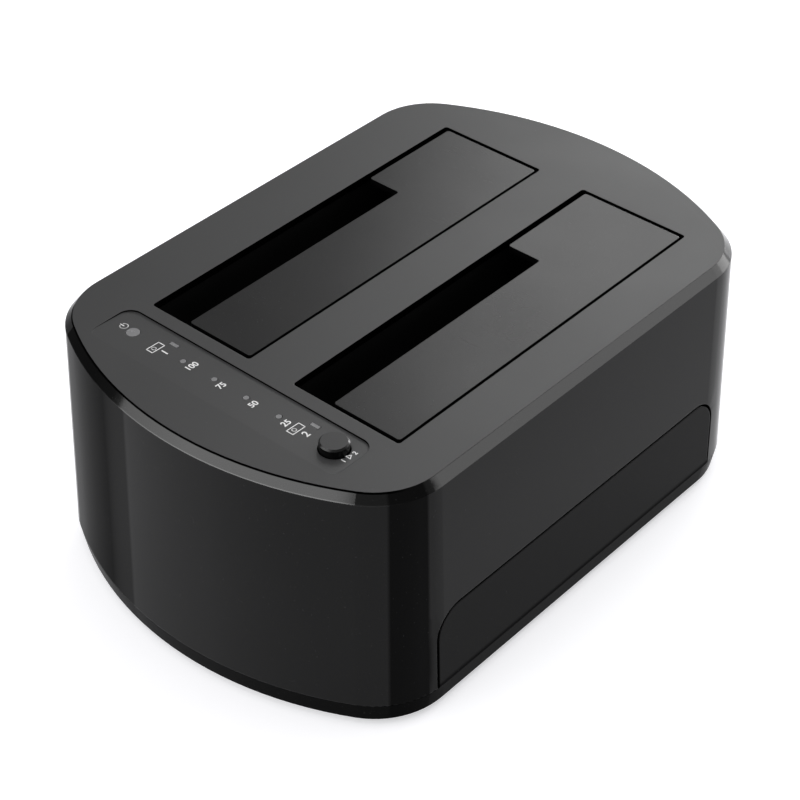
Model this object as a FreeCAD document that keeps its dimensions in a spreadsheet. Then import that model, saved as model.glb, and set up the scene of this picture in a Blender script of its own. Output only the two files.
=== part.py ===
# Two bay drive duplicator: a desk dock that copies one hard drive to another.
# Millimetres. X runs to the right of the control panel, Y to the back, Z up.
# The origin is the middle of the footprint, on the surface that the rubber feet stand on.

import FreeCAD
import Part
import Sketcher
import math
import os
from FreeCAD import Placement, Rotation, Vector

os.makedirs("parts", exist_ok=True)
doc = FreeCAD.newDocument("DriveDuplicator")
sheet = doc.addObject("Spreadsheet::Sheet", "Sizes")

# Driving sizes: name, value, what it is
sizeTable = [
    # housing
    ("footHeight", 1.2, "rubber feet below the base shell"),
    ("footRadius", 6.0, "radius of a rubber foot"),
    ("footSink", 0.8, "depth of a foot's seat in the base"),
    ("bandHeight", 5.8, "height of the dark band of the base shell"),
    ("bandDraft", 9.5, "degrees that the band leans in towards the floor"),
    ("bandEdge", 0.9, "bevel of the band's lower edge"),
    ("sideMargin", 15.985, "slots to the sides of the housing, at the top"),
    ("endMargin", 25.95, "slots to the ends of the housing, on average"),
    ("endRadius", 89.3, "radius of the convex front and back"),
    ("cornerRadius", 18.9, "radius of the upright corners"),
    ("sideDraft", 2.0, "degrees that the walls widen towards the floor"),
    ("chamferRun", 2.3, "width of the rim chamfer seen from above"),
    ("chamferDrop", 1.8, "height of the rim chamfer"),
    ("wallThickness", 2.2, "upright walls of both shells"),
    ("topThickness", 2.0, "top face of the top shell"),
    ("floorThickness", 2.2, "floor of the base shell"),
    ("lipHeight", 2.0, "lip of the base shell inside the top shell"),
    ("lipThickness", 1.2, "thickness of that lip"),
    ("lipGap", 0.2, "play between lip and top shell"),
    # side wings of the base shell
    ("wingHalfLength", 51.65, "half length of a side wing"),
    ("wingHeight", 26.85, "top of a wing above the bottom of the base shell"),
    ("wingCorner", 7.0, "upper corner radius of a wing"),
    ("wingGap", 0.7, "groove between wing and top shell"),
    # slots, wells and flaps
    ("bayWidth", 30.9, "slot for a drive 26.1 thick beside the folded flap"),
    ("bayLength", 104.0, "slot for a drive 101.6 wide"),
    ("bayGap", 13.33, "top face between the slots"),
    ("bayShiftSide", 2.025, "slots to the right of the housing's middle"),
    ("bayShiftBack", 4.33, "slots to the back of the housing's middle"),
    ("slotCorner", 0.8, "corner radius of a slot"),
    ("wellMargin", 0.3, "the well is this much wider than the slot on each side"),
    ("hingeRelief", 1.4, "extra room of the well beside the hinge"),
    ("wellWall", 1.8, "walls of a well"),
    ("wellDepth", 50.0, "top face to the floor of a well"),
    ("wellLift", 9.4, "seam to the floor of a well"),
    ("wellFloor", 2.0, "thickness of a well's floor"),
    ("guideRib", 0.5, "guide ribs on the end walls of a well"),
    ("guideRibWidth", 3.0, "width of a guide rib"),
    ("guideRibInset", 6.0, "from the left wall of the well to a guide rib"),
    ("guideRibPitch", 14.1, "guide rib to guide rib"),
    ("guideRibStart", 14.0, "top face to the upper end of a guide rib"),
    ("leftEarReach", 5.2, "from the slot's left edge to its left screw"),
    ("rightEarReach", 6.3, "from the slot's right edge to its right screw"),
    ("leftEarPlace", 75.0, "from the slot's front edge to its left screw"),
    ("rightEarPlace", 25.0, "from the slot's front edge to its right screw"),
    ("earHalf", 2.5, "half width of a screw ear"),
    ("earBossRadius", 2.4, "bosses that the ears are screwed to"),
    ("earThickness", 2.4, "thickness of a screw ear"),
    ("earBoss", 10.0, "length of the bosses that the ears are screwed to"),
    ("flapThickness", 1.6, "plate of a flap"),
    ("flapGapFront", 1.07, "slot to flap, front"),
    ("flapGapBack", 1.1, "slot to flap, back"),
    ("flapGapLeft", 1.65, "slot to flap, left of the wide part"),
    ("flapGapRight", 0.75, "slot to flap, hinge side"),
    ("notchWidth", 11.2, "mouth for a small drive, from the slot's left edge"),
    ("notchLength", 72.8, "mouth for a small drive, from the slot's front edge"),
    ("flapCorner", 0.7, "corner radius of a flap"),
    ("flapRib", 1.0, "height of the ribs under a flap"),
    ("flapRibThickness", 0.9, "thickness of the ribs under a flap"),
    ("flapRibInset", 1.3, "from an edge of a flap to a rib"),
    ("pivotDepth", 3.6, "top face to the hinge pin"),
    ("hingeInset", 0.2, "slot's right edge to the hinge pin"),
    ("pinRadius", 0.6, "hinge pin"),
    ("pinClearance", 0.05, "play of the flap on its pin"),
    ("pinBoss", 2.4, "boss that carries an end of the pin"),
    ("pinBossHalf", 2.2, "half width of that boss"),
    ("knuckleRadius", 1.3, "hinge knuckle"),
    ("knuckleLength", 8.0, "length of a knuckle"),
    ("knuckleInset", 3.0, "from the end of the flap to its first knuckle"),
    ("springWire", 0.36, "wire of the return spring"),
    ("springPlay", 0.25, "spring coil round the pin"),
    ("springTurns", 3.0, "whole turns of the return spring"),
    ("springLeg", 6.4, "legs of the return spring"),
    # control panel
    ("panelLeftReach", 3.36, "first slot's left edge to the left edge of the panel"),
    ("panelWidth", 75.3, "sunken panel"),
    ("panelGap", 3.73, "slots to the back edge of the sunken panel"),
    ("panelLength", 13.1, "back edge of the panel to where it runs out into the top face"),
    ("panelTilt", 2.0, "slope of the panel in degrees"),
    ("panelCorner", 3.4, "corner radius of the panel"),
    ("lampRowGap", 6.2, "back edge of the panel to the round lamps and the button"),
    ("powerLampInset", 7.5, "left edge of the panel to the power lamp"),
    ("powerLampRadius", 1.6, "power lamp"),
    ("progressInset", 23.6, "left edge of the panel to the first progress lamp"),
    ("progressPitch", 9.77, "progress lamp to progress lamp"),
    ("progressRadius", 0.7, "progress lamp"),
    ("driveLampGap", 3.2, "back edge of the panel to the two drive lamps"),
    ("driveLampInset", 17.7, "left edge of the panel to the first drive lamp"),
    ("driveLampPitch", 43.1, "drive lamp to drive lamp"),
    ("driveLampLength", 2.4, "drive lamp"),
    ("driveLampWidth", 0.95, "drive lamp"),
    ("lampPlay", 0.1, "play round a lamp in its hole"),
    ("lampProud", 0.05, "lamp above the panel"),
    ("buttonInset", 69.1, "left edge of the panel to the start button"),
    ("buttonRadius", 3.4, "start button"),
    ("buttonProud", 2.0, "start button above the top face"),
    ("buttonEdge", 0.4, "bevelled edge of the button"),
    ("buttonPlay", 0.25, "play round the button in its hole"),
    ("buttonFlange", 1.2, "flange that keeps the button in"),
    ("buttonLift", 0.3, "play between flange and top shell"),
    ("buttonTravel", 0.5, "stroke of the button"),
    # panel board
    ("panelBoardDrop", 4.0, "underside of the top face to the panel board"),
    ("panelBoardThickness", 1.2, "panel board"),
    ("panelBoardInset", 3.4, "left edge of the panel to the panel board"),
    ("panelBoardWidth", 72.0, "panel board"),
    ("panelBoardGap", 1.3, "back edge of the panel to the panel board"),
    ("panelBoardLength", 12.7, "panel board, front to back"),
    ("panelBossGap", 11.5, "back edge of the panel to the panel board's screws"),
    ("panelBossInset", 12.6, "left edge of the panel to the first of them"),
    ("panelBossPitch", 52.2, "from the first to the second"),
    ("guideBarThickness", 1.5, "bar that joins the light posts"),
    ("guideBarMargin", 2.6, "bar beyond the outer lamps"),
    ("lampChip", 0.8, "height of a lamp chip"),
    ("lampChipGap", 0.3, "lamp chip to light post"),
    ("pegRadius", 0.9, "pegs that hold the light guide"),
    ("pegInset", 12.6, "left edge of the panel to the first peg"),
    ("pegPitch", 44.2, "peg to peg"),
    ("tactHalf", 2.6, "half side of the tact switch"),
    ("tactHeight", 1.3, "height of the tact switch"),
    ("plungerRadius", 1.2, "plunger of the tact switch"),
    ("plungerTop", 2.0, "top of the plunger above the panel board"),
    ("plungerLength", 1.25, "length of the plunger"),
    # main board
    ("boardGap", 0.2, "drive sockets below the floors of the wells"),
    ("boardThickness", 1.6, "main board"),
    ("boardSideGap", 15.55, "side of the housing to the main board"),
    ("boardFrontGap", 15.95, "front of the housing to the main board"),
    ("boardShoulderGap", 19.95, "rear of the housing to where the main board narrows"),
    ("boardTongueHalf", 25.0, "half width of its rear part"),
    ("boardBackGap", 0.2, "face of the connectors to the edge of the main board"),
    ("ventHalf", 24.0, "half length of a floor vent"),
    ("ventStart", -30.0, "first floor vent"),
    ("ventWidth", 2.4, "floor vent"),
    ("ventPitch", 6.0, "vent to vent"),
    ("standoffInset", 5.0, "edge of the main board to its screws"),
    ("standoffBackInset", 8.0, "shoulder of the main board to its rear screws"),
    ("standoffRadius", 3.0, "board standoffs"),
    ("frontPostInset", 10.55, "side of the housing to the front case screws"),
    ("frontPostGap", 19.95, "front of the housing to the front case screws"),
    ("rearPostInset", 23.55, "side of the housing to the rear case screws"),
    ("rearPostGap", 13.95, "rear of the housing to the rear case screws"),
    ("footInset", 13.05, "side of the housing to the rubber feet"),
    ("footGap", 32.95, "ends of the housing to the rubber feet"),
    ("casePostRadius", 3.6, "posts of the base shell"),
    ("casePostTop", 14.8, "bottom of the base shell to the top of its posts"),
    ("caseBossRadius", 2.75, "bosses of the top shell"),
    ("screwRadius", 1.2, "case screws"),
    ("screwHead", 2.4, "radius of a case screw's head"),
    ("screwHeadHeight", 1.8, "height of a case screw's head"),
    ("screwSeat", 8.8, "bottom of the base shell to the seat of a case screw"),
    ("screwBite", 9.0, "screw length in the boss"),
    ("smallScrewRadius", 0.95, "board, well and panel screws"),
    ("smallHead", 2.1, "radius of a small screw's head"),
    ("smallHeadHeight", 1.4, "height of a small screw's head"),
    ("smallBite", 4.6, "small screw in its boss"),
    # parts on the main board
    ("bridgeChipPlace", -12.0, "bridge chip"),
    ("bridgeChipRow", 10.0, "bridge chip"),
    ("bridgeChipHalf", 5.0, "half side of the bridge chip"),
    ("bridgeChipHeight", 1.2, "bridge chip"),
    ("copyChipPlace", 28.0, "copy chip"),
    ("copyChipRow", -10.0, "copy chip"),
    ("copyChipHalf", 4.5, "half side of the copy chip"),
    ("copyChipHeight", 1.0, "copy chip"),
    ("crystalPlace", 2.5, "crystal"),
    ("crystalRow", 12.0, "crystal"),
    ("crystalHalf", 2.3, "half width of the crystal"),
    ("crystalHalfLength", 5.6, "half length of the crystal"),
    ("crystalHeight", 3.0, "crystal"),
    ("coilPlace", -20.0, "first coil"),
    ("coilPitch", 12.0, "coil to coil"),
    ("coilRow", 44.0, "coils"),
    ("coilHalf", 3.6, "half side of a coil"),
    ("coilHeight", 3.0, "coils"),
    ("leftCanPlace", -24.0, "left capacitor"),
    ("middleCanPlace", 12.0, "middle capacitor"),
    ("rightCanPlace", 21.0, "right capacitor"),
    ("canGap", 5.5, "front edge of the main board to the capacitors"),
    ("canRadius", 3.15, "capacitors"),
    ("canHeight", 7.7, "capacitors"),
    ("cablePlace", -4.5, "ribbon cable"),
    ("cableSocketHalf", 7.5, "half length of a ribbon socket"),
    ("cableSocketDepth", 2.0, "half width of a ribbon socket"),
    ("cableSocketHeight", 3.0, "ribbon sockets"),
    ("ribbonWidth", 12.6, "ribbon cable"),
    ("ribbonThickness", 0.3, "ribbon cable"),
    ("ribbonBend", 62.0, "bend radius of the slack ribbon"),
    # drive sockets
    ("socketPlace", 4.5, "slot's left edge to the middle of the drive socket"),
    ("socketRow", 32.0, "slot's front edge to the middle of the drive socket"),
    ("socketHalf", 22.5, "half length of the drive socket"),
    ("socketBaseHalf", 3.1, "half width of the drive socket's base"),
    ("socketBase", 3.6, "height of the drive socket's base"),
    ("socketBladeHalf", 2.2, "half width of the drive socket above its base"),
    ("socketTop", 10.5, "height of the drive socket above the board"),
    ("socketPost", 2.3, "length of a guide post"),
    ("socketPostRise", 1.5, "guide post above the socket"),
    ("socketShort", 9.2, "length of the data slot"),
    ("socketLong", 19.6, "length of the power slot"),
    ("socketBridge", 2.6, "material between the two slots"),
    ("socketSlot", 1.3, "width of the slots"),
    ("socketSlotDepth", 5.4, "depth of the slots"),
    ("contactPitch", 1.27, "contact to contact"),
    ("contactWidth", 0.5, "contact"),
    ("contactThickness", 0.25, "contact"),
    # rear connectors
    ("portSink", 2.55, "rear end of the housing to the flat floor of the rear recess"),
    ("portWall", 2.2, "wall behind the rear recess"),
    ("portHalf", 25.0, "half length of the rear recess"),
    ("portDrop", 1.6, "main board to the lower edge of the rear recess"),
    ("portReach", 12.0, "depth that is cut for the rear recess"),
    ("portHeight", 17.5, "height of the rear recess"),
    ("portCorner", 2.5, "corner radius of the rear recess"),
    ("portBlock", 1.6, "material round the rear recess, inside"),
    ("portGap", 0.2, "rear wall to the connectors"),
    ("usbPlace", 15.5, "data socket"),
    ("usbHalf", 6.0, "half width of the data socket"),
    ("usbHeight", 10.4, "height of the data socket"),
    ("usbLength", 14.2, "length of the data socket"),
    ("usbWall", 0.5, "sheet metal of the data socket"),
    ("usbBevel", 1.8, "bevelled upper corners of the data socket"),
    ("usbTongueHalf", 2.8, "half width of the data socket's tongue"),
    ("usbTongueHeight", 3.2, "height of the tongue"),
    ("usbTongueLength", 9.0, "length of the tongue"),
    ("jackPlace", -16.0, "power inlet"),
    ("jackHalf", 4.5, "half width of the power inlet"),
    ("jackHeight", 11.0, "height of the power inlet"),
    ("jackLength", 13.8, "length of the power inlet"),
    ("jackAxis", 6.3, "axis of the power inlet above the board"),
    ("jackBore", 3.1, "bore radius of the power inlet"),
    ("jackBoreDepth", 10.0, "bore depth of the power inlet"),
    ("jackPin", 1.0, "centre pin"),
    ("jackPinLength", 9.2, "centre pin"),
    ("rockerPlace", 0.0, "power switch"),
    ("rockerAxis", 7.0, "middle of the power switch above the board"),
    ("rockerFlangeHalf", 7.5, "half width of the switch's flange"),
    ("rockerFlangeHeight", 10.6, "height of the switch's flange"),
    ("rockerFlange", 1.3, "thickness of the switch's flange"),
    ("rockerBodyHalf", 6.5, "half width of the switch's body"),
    ("rockerBodyHeight", 8.6, "height of the switch's body"),
    ("rockerBodyLength", 12.0, "length of the switch's body"),
    ("rockerWall", 0.9, "walls of the switch's body"),
    ("rockerPlay", 0.2, "play round the rocker"),
    ("rockerTilt", 8.0, "degrees that the rocker leans at rest"),
    ("rockerCrown", 2.4, "rocker above its pivot"),
    ("rockerPivot", 1.5, "pivot below the flange's face"),
    ("rockerCavity", 7.0, "depth of the rocker's cavity"),
    ("terminalPlace", 3.5, "terminals of the switch to each side"),
    ("terminalHalf", 1.6, "half width of a terminal"),
    ("terminalLength", 3.0, "terminals of the switch"),
    ("terminalThickness", 0.6, "terminals of the switch"),
    ("wireRadius", 0.6, "wires of the switch"),
    ("trunnionRadius", 0.8, "pivot of the rocker"),
    ("trunnionPlay", 0.05, "play of that pivot"),
]

for row, entry in enumerate(sizeTable, start=1):
    alias, number, note = entry
    sheet.set("A%d" % row, alias)
    sheet.set("B%d" % row, str(number))
    sheet.set("C%d" % row, note)
    sheet.setAlias("B%d" % row, alias)
doc.recompute()


class Size:
    # A length with its number now and the sheet formula behind it

    def __init__(self, value, text):
        self.value = value
        self.text = text

    def __add__(self, other):
        other = asSize(other)
        return Size(self.value + other.value, "(%s + %s)" % (self.text, other.text))

    def __sub__(self, other):
        other = asSize(other)
        return Size(self.value - other.value, "(%s - %s)" % (self.text, other.text))

    def __mul__(self, other):
        other = asSize(other)
        return Size(self.value * other.value, "(%s * %s)" % (self.text, other.text))

    def __truediv__(self, other):
        other = asSize(other)
        return Size(self.value / other.value, "(%s / %s)" % (self.text, other.text))

    def __neg__(self):
        return Size(-self.value, "(0 - %s)" % self.text)


def asSize(number):
    if isinstance(number, Size):
        return number
    return Size(float(number), repr(float(number)))


def tangentOf(angle):
    return Size(math.tan(math.radians(angle.value)), "tan(%s * 1 deg)" % angle.text)


class Sheet:
    # The sheet's sizes by name
    pass


d = Sheet()
for alias, number, note in sizeTable:
    setattr(d, alias, Size(float(sheet.get(alias)), "Sizes." + alias))

zero = asSize(0.0)

# Heights and edges that several pieces share
shellHeight = d.wellLift + d.wellDepth
seamZ = d.footHeight + d.bandHeight
topZ = seamZ + shellHeight
underTop = topZ - d.topThickness
baseFloorZ = d.footHeight + d.floorThickness
wellFloorTop = topZ - d.wellDepth
boardTopZ = wellFloorTop - d.wellFloor - d.boardGap - d.socketBase
boardZ = boardTopZ - d.boardThickness
panelBoardTop = underTop - d.panelBoardDrop
pivotZ = topZ - d.pivotDepth
earTop = underTop - d.earBoss
postTopZ = d.footHeight + d.casePostTop
drift = tangentOf(d.sideDraft)
seamGrow = shellHeight * drift
portLow = boardTopZ - d.portDrop

# Lengths and widths: the housing is as large as its two slots and their margins need
bayPitch = d.bayWidth + d.bayGap
halfWidth = (bayPitch + d.bayWidth) / 2 + d.sideMargin
halfLength = d.bayLength / 2 + d.endMargin
firstBayLeft = d.bayShiftSide - (bayPitch + d.bayWidth) / 2
bayFront = d.bayShiftBack - d.bayLength / 2
bayBack = bayFront + d.bayLength
panelLeft = firstBayLeft - d.panelLeftReach
panelRight = panelLeft + d.panelWidth
panelBack = bayFront - d.panelGap
panelFront = panelBack - d.panelLength
lampRow = panelBack - d.lampRowGap
driveLampRow = panelBack - d.driveLampGap
powerLampPlace = panelLeft + d.powerLampInset
buttonPlace = panelLeft + d.buttonInset
portFace = halfLength - d.portSink
connectorFace = portFace - d.portWall - d.portGap
boardHalf = halfWidth - d.boardSideGap
boardFront = d.boardFrontGap - halfLength
boardShoulder = halfLength - d.boardShoulderGap
bothSides = (asSize(-1), asSize(1))
casePosts = [(side * x, y) for side in bothSides
             for x, y in ((halfWidth - d.frontPostInset, d.frontPostGap - halfLength),
                          (halfWidth - d.rearPostInset, halfLength - d.rearPostGap))]
footPlaces = [(side * (halfWidth - d.footInset), end * (halfLength - d.footGap))
              for side in bothSides for end in bothSides]
standoffs = [(side * (boardHalf - d.standoffInset), y) for side in bothSides
             for y in (boardFront + d.standoffInset, boardShoulder - d.standoffBackInset)]
panelBosses = [(panelLeft + d.panelBossInset + d.panelBossPitch * count,
                panelBack - d.panelBossGap) for count in range(2)]
pegs = [(panelLeft + d.pegInset + d.pegPitch * count, lampRow) for count in range(2)]
progressPlaces = [panelLeft + d.progressInset + d.progressPitch * count for count in range(4)]
drivePlaces = [panelLeft + d.driveLampInset + d.driveLampPitch * count for count in range(2)]


def bayLeft(bay):
    return firstBayLeft + bayPitch * bay


def pivotX(bay):
    return bayLeft(bay) + d.bayWidth - d.hingeInset


def wellSides(bay):
    return bayLeft(bay) - d.wellMargin, bayLeft(bay) + d.bayWidth + d.hingeRelief


def wellScrews(bay):
    return [(bayLeft(bay) - d.leftEarReach, bayFront + d.leftEarPlace),
            (bayLeft(bay) + d.bayWidth + d.rightEarReach, bayFront + d.rightEarPlace)]


def sideAt(z):
    return halfWidth + (topZ - z) * drift


def panelZ(y):
    return topZ - (y - panelFront) * tangentOf(d.panelTilt)


# Helpers for the document

pieces = []


def bind(thing, path, size):
    thing.setExpression(path, asSize(size).text)


def keep(thing, label):
    thing.Label = label
    pieces.append(thing)
    return thing


def newBody(label):
    return keep(doc.addObject("PartDesign::Body", "Body_" + label), label)


def newSketch(body, name, plane, offset=None):
    sketch = body.newObject("Sketcher::SketchObject", name)
    support = [item for item in body.Origin.OriginFeatures if item.Role == plane][0]
    sketch.AttachmentSupport = [(support, "")]
    sketch.MapMode = "FlatFace"
    if offset is not None:
        sketch.AttachmentOffset = Placement(Vector(0, 0, offset.value), Rotation())
        bind(sketch, "AttachmentOffset.Base.z", offset)
    return sketch


def driven(sketch, constraint, size):
    index = sketch.addConstraint(constraint)
    sketch.setExpression("Constraints[%d]" % index, size.text)


def pinPoint(sketch, geometry, position, x, y):
    driven(sketch, Sketcher.Constraint("DistanceX", -1, 1, geometry, position, x.value), x)
    driven(sketch, Sketcher.Constraint("DistanceY", -1, 1, geometry, position, y.value), y)


def arcBetween(start, end, radius):
    # Counter-clockwise arc of at most half a turn between two points
    chord = end - start
    middle = (start + end) * 0.5
    reach = math.sqrt(max(radius * radius - chord.Length * chord.Length / 4, 0.0))
    normal = Vector(-chord.y, chord.x, 0) * (1.0 / chord.Length)
    centre = middle + normal * reach
    first = math.atan2(start.y - centre.y, start.x - centre.x)
    last = math.atan2(end.y - centre.y, end.x - centre.x)
    if last < first:
        last += 2 * math.pi
    return Part.ArcOfCircle(Part.Circle(centre, Vector(0, 0, 1), radius), first, last)


def addPath(sketch, corners):
    # A closed outline: each corner is x, y and, for a bend to the next corner, a radius.
    # A negative radius bends clockwise.
    first = sketch.GeometryCount
    count = len(corners)
    for index in range(count):
        here = corners[index]
        there = corners[(index + 1) % count]
        start = Vector(here[0].value, here[1].value, 0)
        end = Vector(there[0].value, there[1].value, 0)
        if len(here) == 2:
            sketch.addGeometry(Part.LineSegment(start, end), False)
        elif here[2].value > 0:
            sketch.addGeometry(arcBetween(start, end, here[2].value), False)
        else:
            sketch.addGeometry(arcBetween(end, start, -here[2].value), False)
    for index in range(count):
        following = (index + 1) % count
        leaves = 1 if len(corners[index]) == 3 and corners[index][2].value < 0 else 2
        enters = 2 if len(corners[following]) == 3 and corners[following][2].value < 0 else 1
        sketch.addConstraint(Sketcher.Constraint("Coincident", first + index, leaves,
                                                 first + following, enters))
        pinPoint(sketch, first + following, enters, corners[following][0], corners[following][1])
    for index in range(count):
        if len(corners[index]) == 3:
            radius = corners[index][2]
            if radius.value < 0:
                radius = -radius
            driven(sketch, Sketcher.Constraint("Radius", first + index, radius.value), radius)


def addRectangle(sketch, x0, x1, y0, y1):
    addPath(sketch, [(x0, y0), (x1, y0), (x1, y1), (x0, y1)])


def addRoundRectangle(sketch, x0, x1, y0, y1, radius):
    addPath(sketch, [(x0 + radius, y0), (x1 - radius, y0, radius),
                     (x1, y0 + radius), (x1, y1 - radius, radius),
                     (x1 - radius, y1), (x0 + radius, y1, radius),
                     (x0, y1 - radius), (x0, y0 + radius, radius)])


def addCircle(sketch, x, y, radius):
    centre = Vector(x.value, y.value, 0)
    index = sketch.addGeometry(Part.Circle(centre, Vector(0, 0, 1), radius.value), False)
    driven(sketch, Sketcher.Constraint("Radius", index, radius.value), radius)
    pinPoint(sketch, index, 3, x, y)


def addHousingOutline(sketch, inset):
    # Two straight sides, two convex ends and four corners, all tangent, set in by one offset
    half = halfWidth - inset
    length = halfLength - inset
    end = d.endRadius - inset
    corner = d.cornerRadius - inset
    centreY = end - length
    a, b, big, small = half.value, length.value, end.value, corner.value
    rise = math.sqrt((big - small) ** 2 - (a - small) ** 2)
    cornerY = rise - (big - b)
    turn = math.atan2(rise, a - small)
    up = Vector(0, 0, 1)
    quarter = [
        (Vector(a - small, cornerY, 0), small, 0, turn),
        (Vector(0, b - big, 0), big, turn, math.pi - turn),
        (Vector(small - a, cornerY, 0), small, math.pi - turn, math.pi),
        None,
        (Vector(small - a, -cornerY, 0), small, math.pi, math.pi + turn),
        (Vector(0, big - b, 0), big, math.pi + turn, 2 * math.pi - turn),
        (Vector(a - small, -cornerY, 0), small, 2 * math.pi - turn, 2 * math.pi),
    ]
    first = sketch.GeometryCount
    sketch.addGeometry(Part.LineSegment(Vector(a, -cornerY, 0), Vector(a, cornerY, 0)), False)
    for arc in quarter:
        if arc is None:
            left = Part.LineSegment(Vector(-a, cornerY, 0), Vector(-a, -cornerY, 0))
            sketch.addGeometry(left, False)
        else:
            centre, radius, start, finish = arc
            circle = Part.Circle(centre, up, radius)
            sketch.addGeometry(Part.ArcOfCircle(circle, start, finish), False)
    for index in range(8):
        following = first + (index + 1) % 8
        sketch.addConstraint(Sketcher.Constraint("Tangent", first + index, 2, following, 1))
    for side in (0, 4):
        sketch.addConstraint(Sketcher.Constraint("Vertical", first + side))
    for corners in ((1, 3), (3, 5), (5, 7), (2, 6)):
        sketch.addConstraint(Sketcher.Constraint("Equal", first + corners[0], first + corners[1]))
    for arc in (2, 6):
        sketch.addConstraint(Sketcher.Constraint("PointOnObject", first + arc, 3, -2))
    driven(sketch, Sketcher.Constraint("Radius", first + 6, big), end)
    driven(sketch, Sketcher.Constraint("Radius", first + 7, small), corner)
    driven(sketch, Sketcher.Constraint("DistanceY", -1, 1, first + 6, 3, big - b), centreY)
    driven(sketch, Sketcher.Constraint("DistanceY", -1, 1, first + 2, 3, b - big), -centreY)
    driven(sketch, Sketcher.Constraint("DistanceX", -1, 1, first, 1, a), half)
    driven(sketch, Sketcher.Constraint("DistanceX", -1, 1, first + 4, 1, -a), -half)


def checkVolume(body, feature, before, grows):
    doc.recompute()
    after = feature.Shape.Volume
    if grows and after <= before + 1e-6:
        raise RuntimeError("%s in %s adds nothing" % (feature.Name, body.Label))
    if not grows and after >= before - 1e-6:
        raise RuntimeError("%s in %s cuts nothing" % (feature.Name, body.Label))


def volumeOf(body):
    return body.Shape.Volume if body.Tip and not body.Shape.isNull() else 0.0


def extrude(kind, body, sketch, name, length, taper, reverse, symmetric, upTo):
    before = volumeOf(body)
    feature = body.newObject("PartDesign::" + kind, name)
    feature.Profile = sketch
    feature.Reversed = reverse
    if symmetric:
        feature.SideType = "Symmetric"
    if upTo:
        feature.Type = upTo
    else:
        bind(feature, "Length", length)
    if taper is not None:
        bind(feature, "TaperAngle", taper)
    body.Tip = feature
    checkVolume(body, feature, before, kind == "Pad")
    return feature


def pad(body, sketch, name, length=None, taper=None, reverse=False, symmetric=False, upTo=None):
    return extrude("Pad", body, sketch, name, length, taper, reverse, symmetric, upTo)


def pocket(body, sketch, name, length=None, taper=None, reverse=False, symmetric=False):
    upTo = None if length is not None else "ThroughAll"
    return extrude("Pocket", body, sketch, name, length, taper, reverse, symmetric, upTo)


def edgeNames(feature, wanted):
    return ["Edge%d" % (index + 1) for index, edge in enumerate(feature.Shape.Edges)
            if wanted(edge)]


def easeEdges(body, kind, sizeName, name, feature, wanted, size):
    names = edgeNames(feature, wanted)
    if not names:
        raise RuntimeError("%s in %s finds no edges" % (name, body.Label))
    eased = body.newObject("PartDesign::" + kind, name)
    eased.Base = (feature, names)
    bind(eased, sizeName, size)
    body.Tip = eased
    doc.recompute()
    return eased


def roundEdges(body, name, feature, wanted, radius):
    return easeEdges(body, "Fillet", "Radius", name, feature, wanted, radius)


def bevelEdges(body, name, feature, wanted, size):
    return easeEdges(body, "Chamfer", "Size", name, feature, wanted, size)


def isUpright(edge):
    ends = [vertex.Point for vertex in edge.Vertexes]
    if len(ends) != 2:
        return False
    return abs(ends[0].x - ends[1].x) < 0.01 and abs(ends[0].y - ends[1].y) < 0.01


def box(name, x0, x1, y0, y1, z0, z1):
    solid = doc.addObject("Part::Box", name)
    bind(solid, "Length", x1 - x0)
    bind(solid, "Width", y1 - y0)
    bind(solid, "Height", z1 - z0)
    bind(solid, "Placement.Base.x", x0)
    bind(solid, "Placement.Base.y", y0)
    bind(solid, "Placement.Base.z", z0)
    return solid


def block(name, x, y, halfX, halfY, z0, z1):
    return box(name, x - halfX, x + halfX, y - halfY, y + halfY, z0, z1)


axisTurns = {
    "X": Rotation(Vector(0, 1, 0), 90),
    "Y": Rotation(Vector(1, 0, 0), -90),
    "Z": Rotation(),
}


def cylinder(name, x, y, z, radius, length, axis="Z"):
    solid = doc.addObject("Part::Cylinder", name)
    solid.Placement = Placement(Vector(x.value, y.value, z.value), axisTurns[axis])
    bind(solid, "Radius", radius)
    bind(solid, "Height", length)
    bind(solid, "Placement.Base.x", x)
    bind(solid, "Placement.Base.y", y)
    bind(solid, "Placement.Base.z", z)
    return solid


def fuse(name, solids):
    joined = doc.addObject("Part::MultiFuse", name)
    joined.Shapes = solids
    joined.Refine = True
    return joined


def cut(name, base, tool):
    result = doc.addObject("Part::Cut", name)
    result.Base = base
    result.Tool = tool
    return result


def group(name, solids, label):
    joined = doc.addObject("Part::Compound", name)
    joined.Links = solids
    return keep(joined, label)


def screw(name, x, y, seatZ, headRadius, headHeight, shankRadius, length, headBelow):
    # Head on one side of its seat, shank on the other
    if headBelow:
        head = cylinder(name + "Head", x, y, seatZ - headHeight, headRadius, headHeight)
        shank = cylinder(name + "Shank", x, y, seatZ, shankRadius, length)
        driveZ = seatZ - headHeight
    else:
        head = cylinder(name + "Head", x, y, seatZ, headRadius, headHeight)
        shank = cylinder(name + "Shank", x, y, seatZ - length, shankRadius, length)
        driveZ = seatZ + headHeight * 0.45
    solid = fuse(name + "Solid", [head, shank])
    reach = headRadius * 0.62
    arm = headRadius * 0.16
    deep = headHeight * 0.55
    cross = fuse(name + "Cross", [block(name + "SlotX", x, y, reach, arm, driveZ, driveZ + deep),
                                  block(name + "SlotY", x, y, arm, reach, driveZ, driveZ + deep)])
    return cut(name, solid, cross)


# Housing

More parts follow.
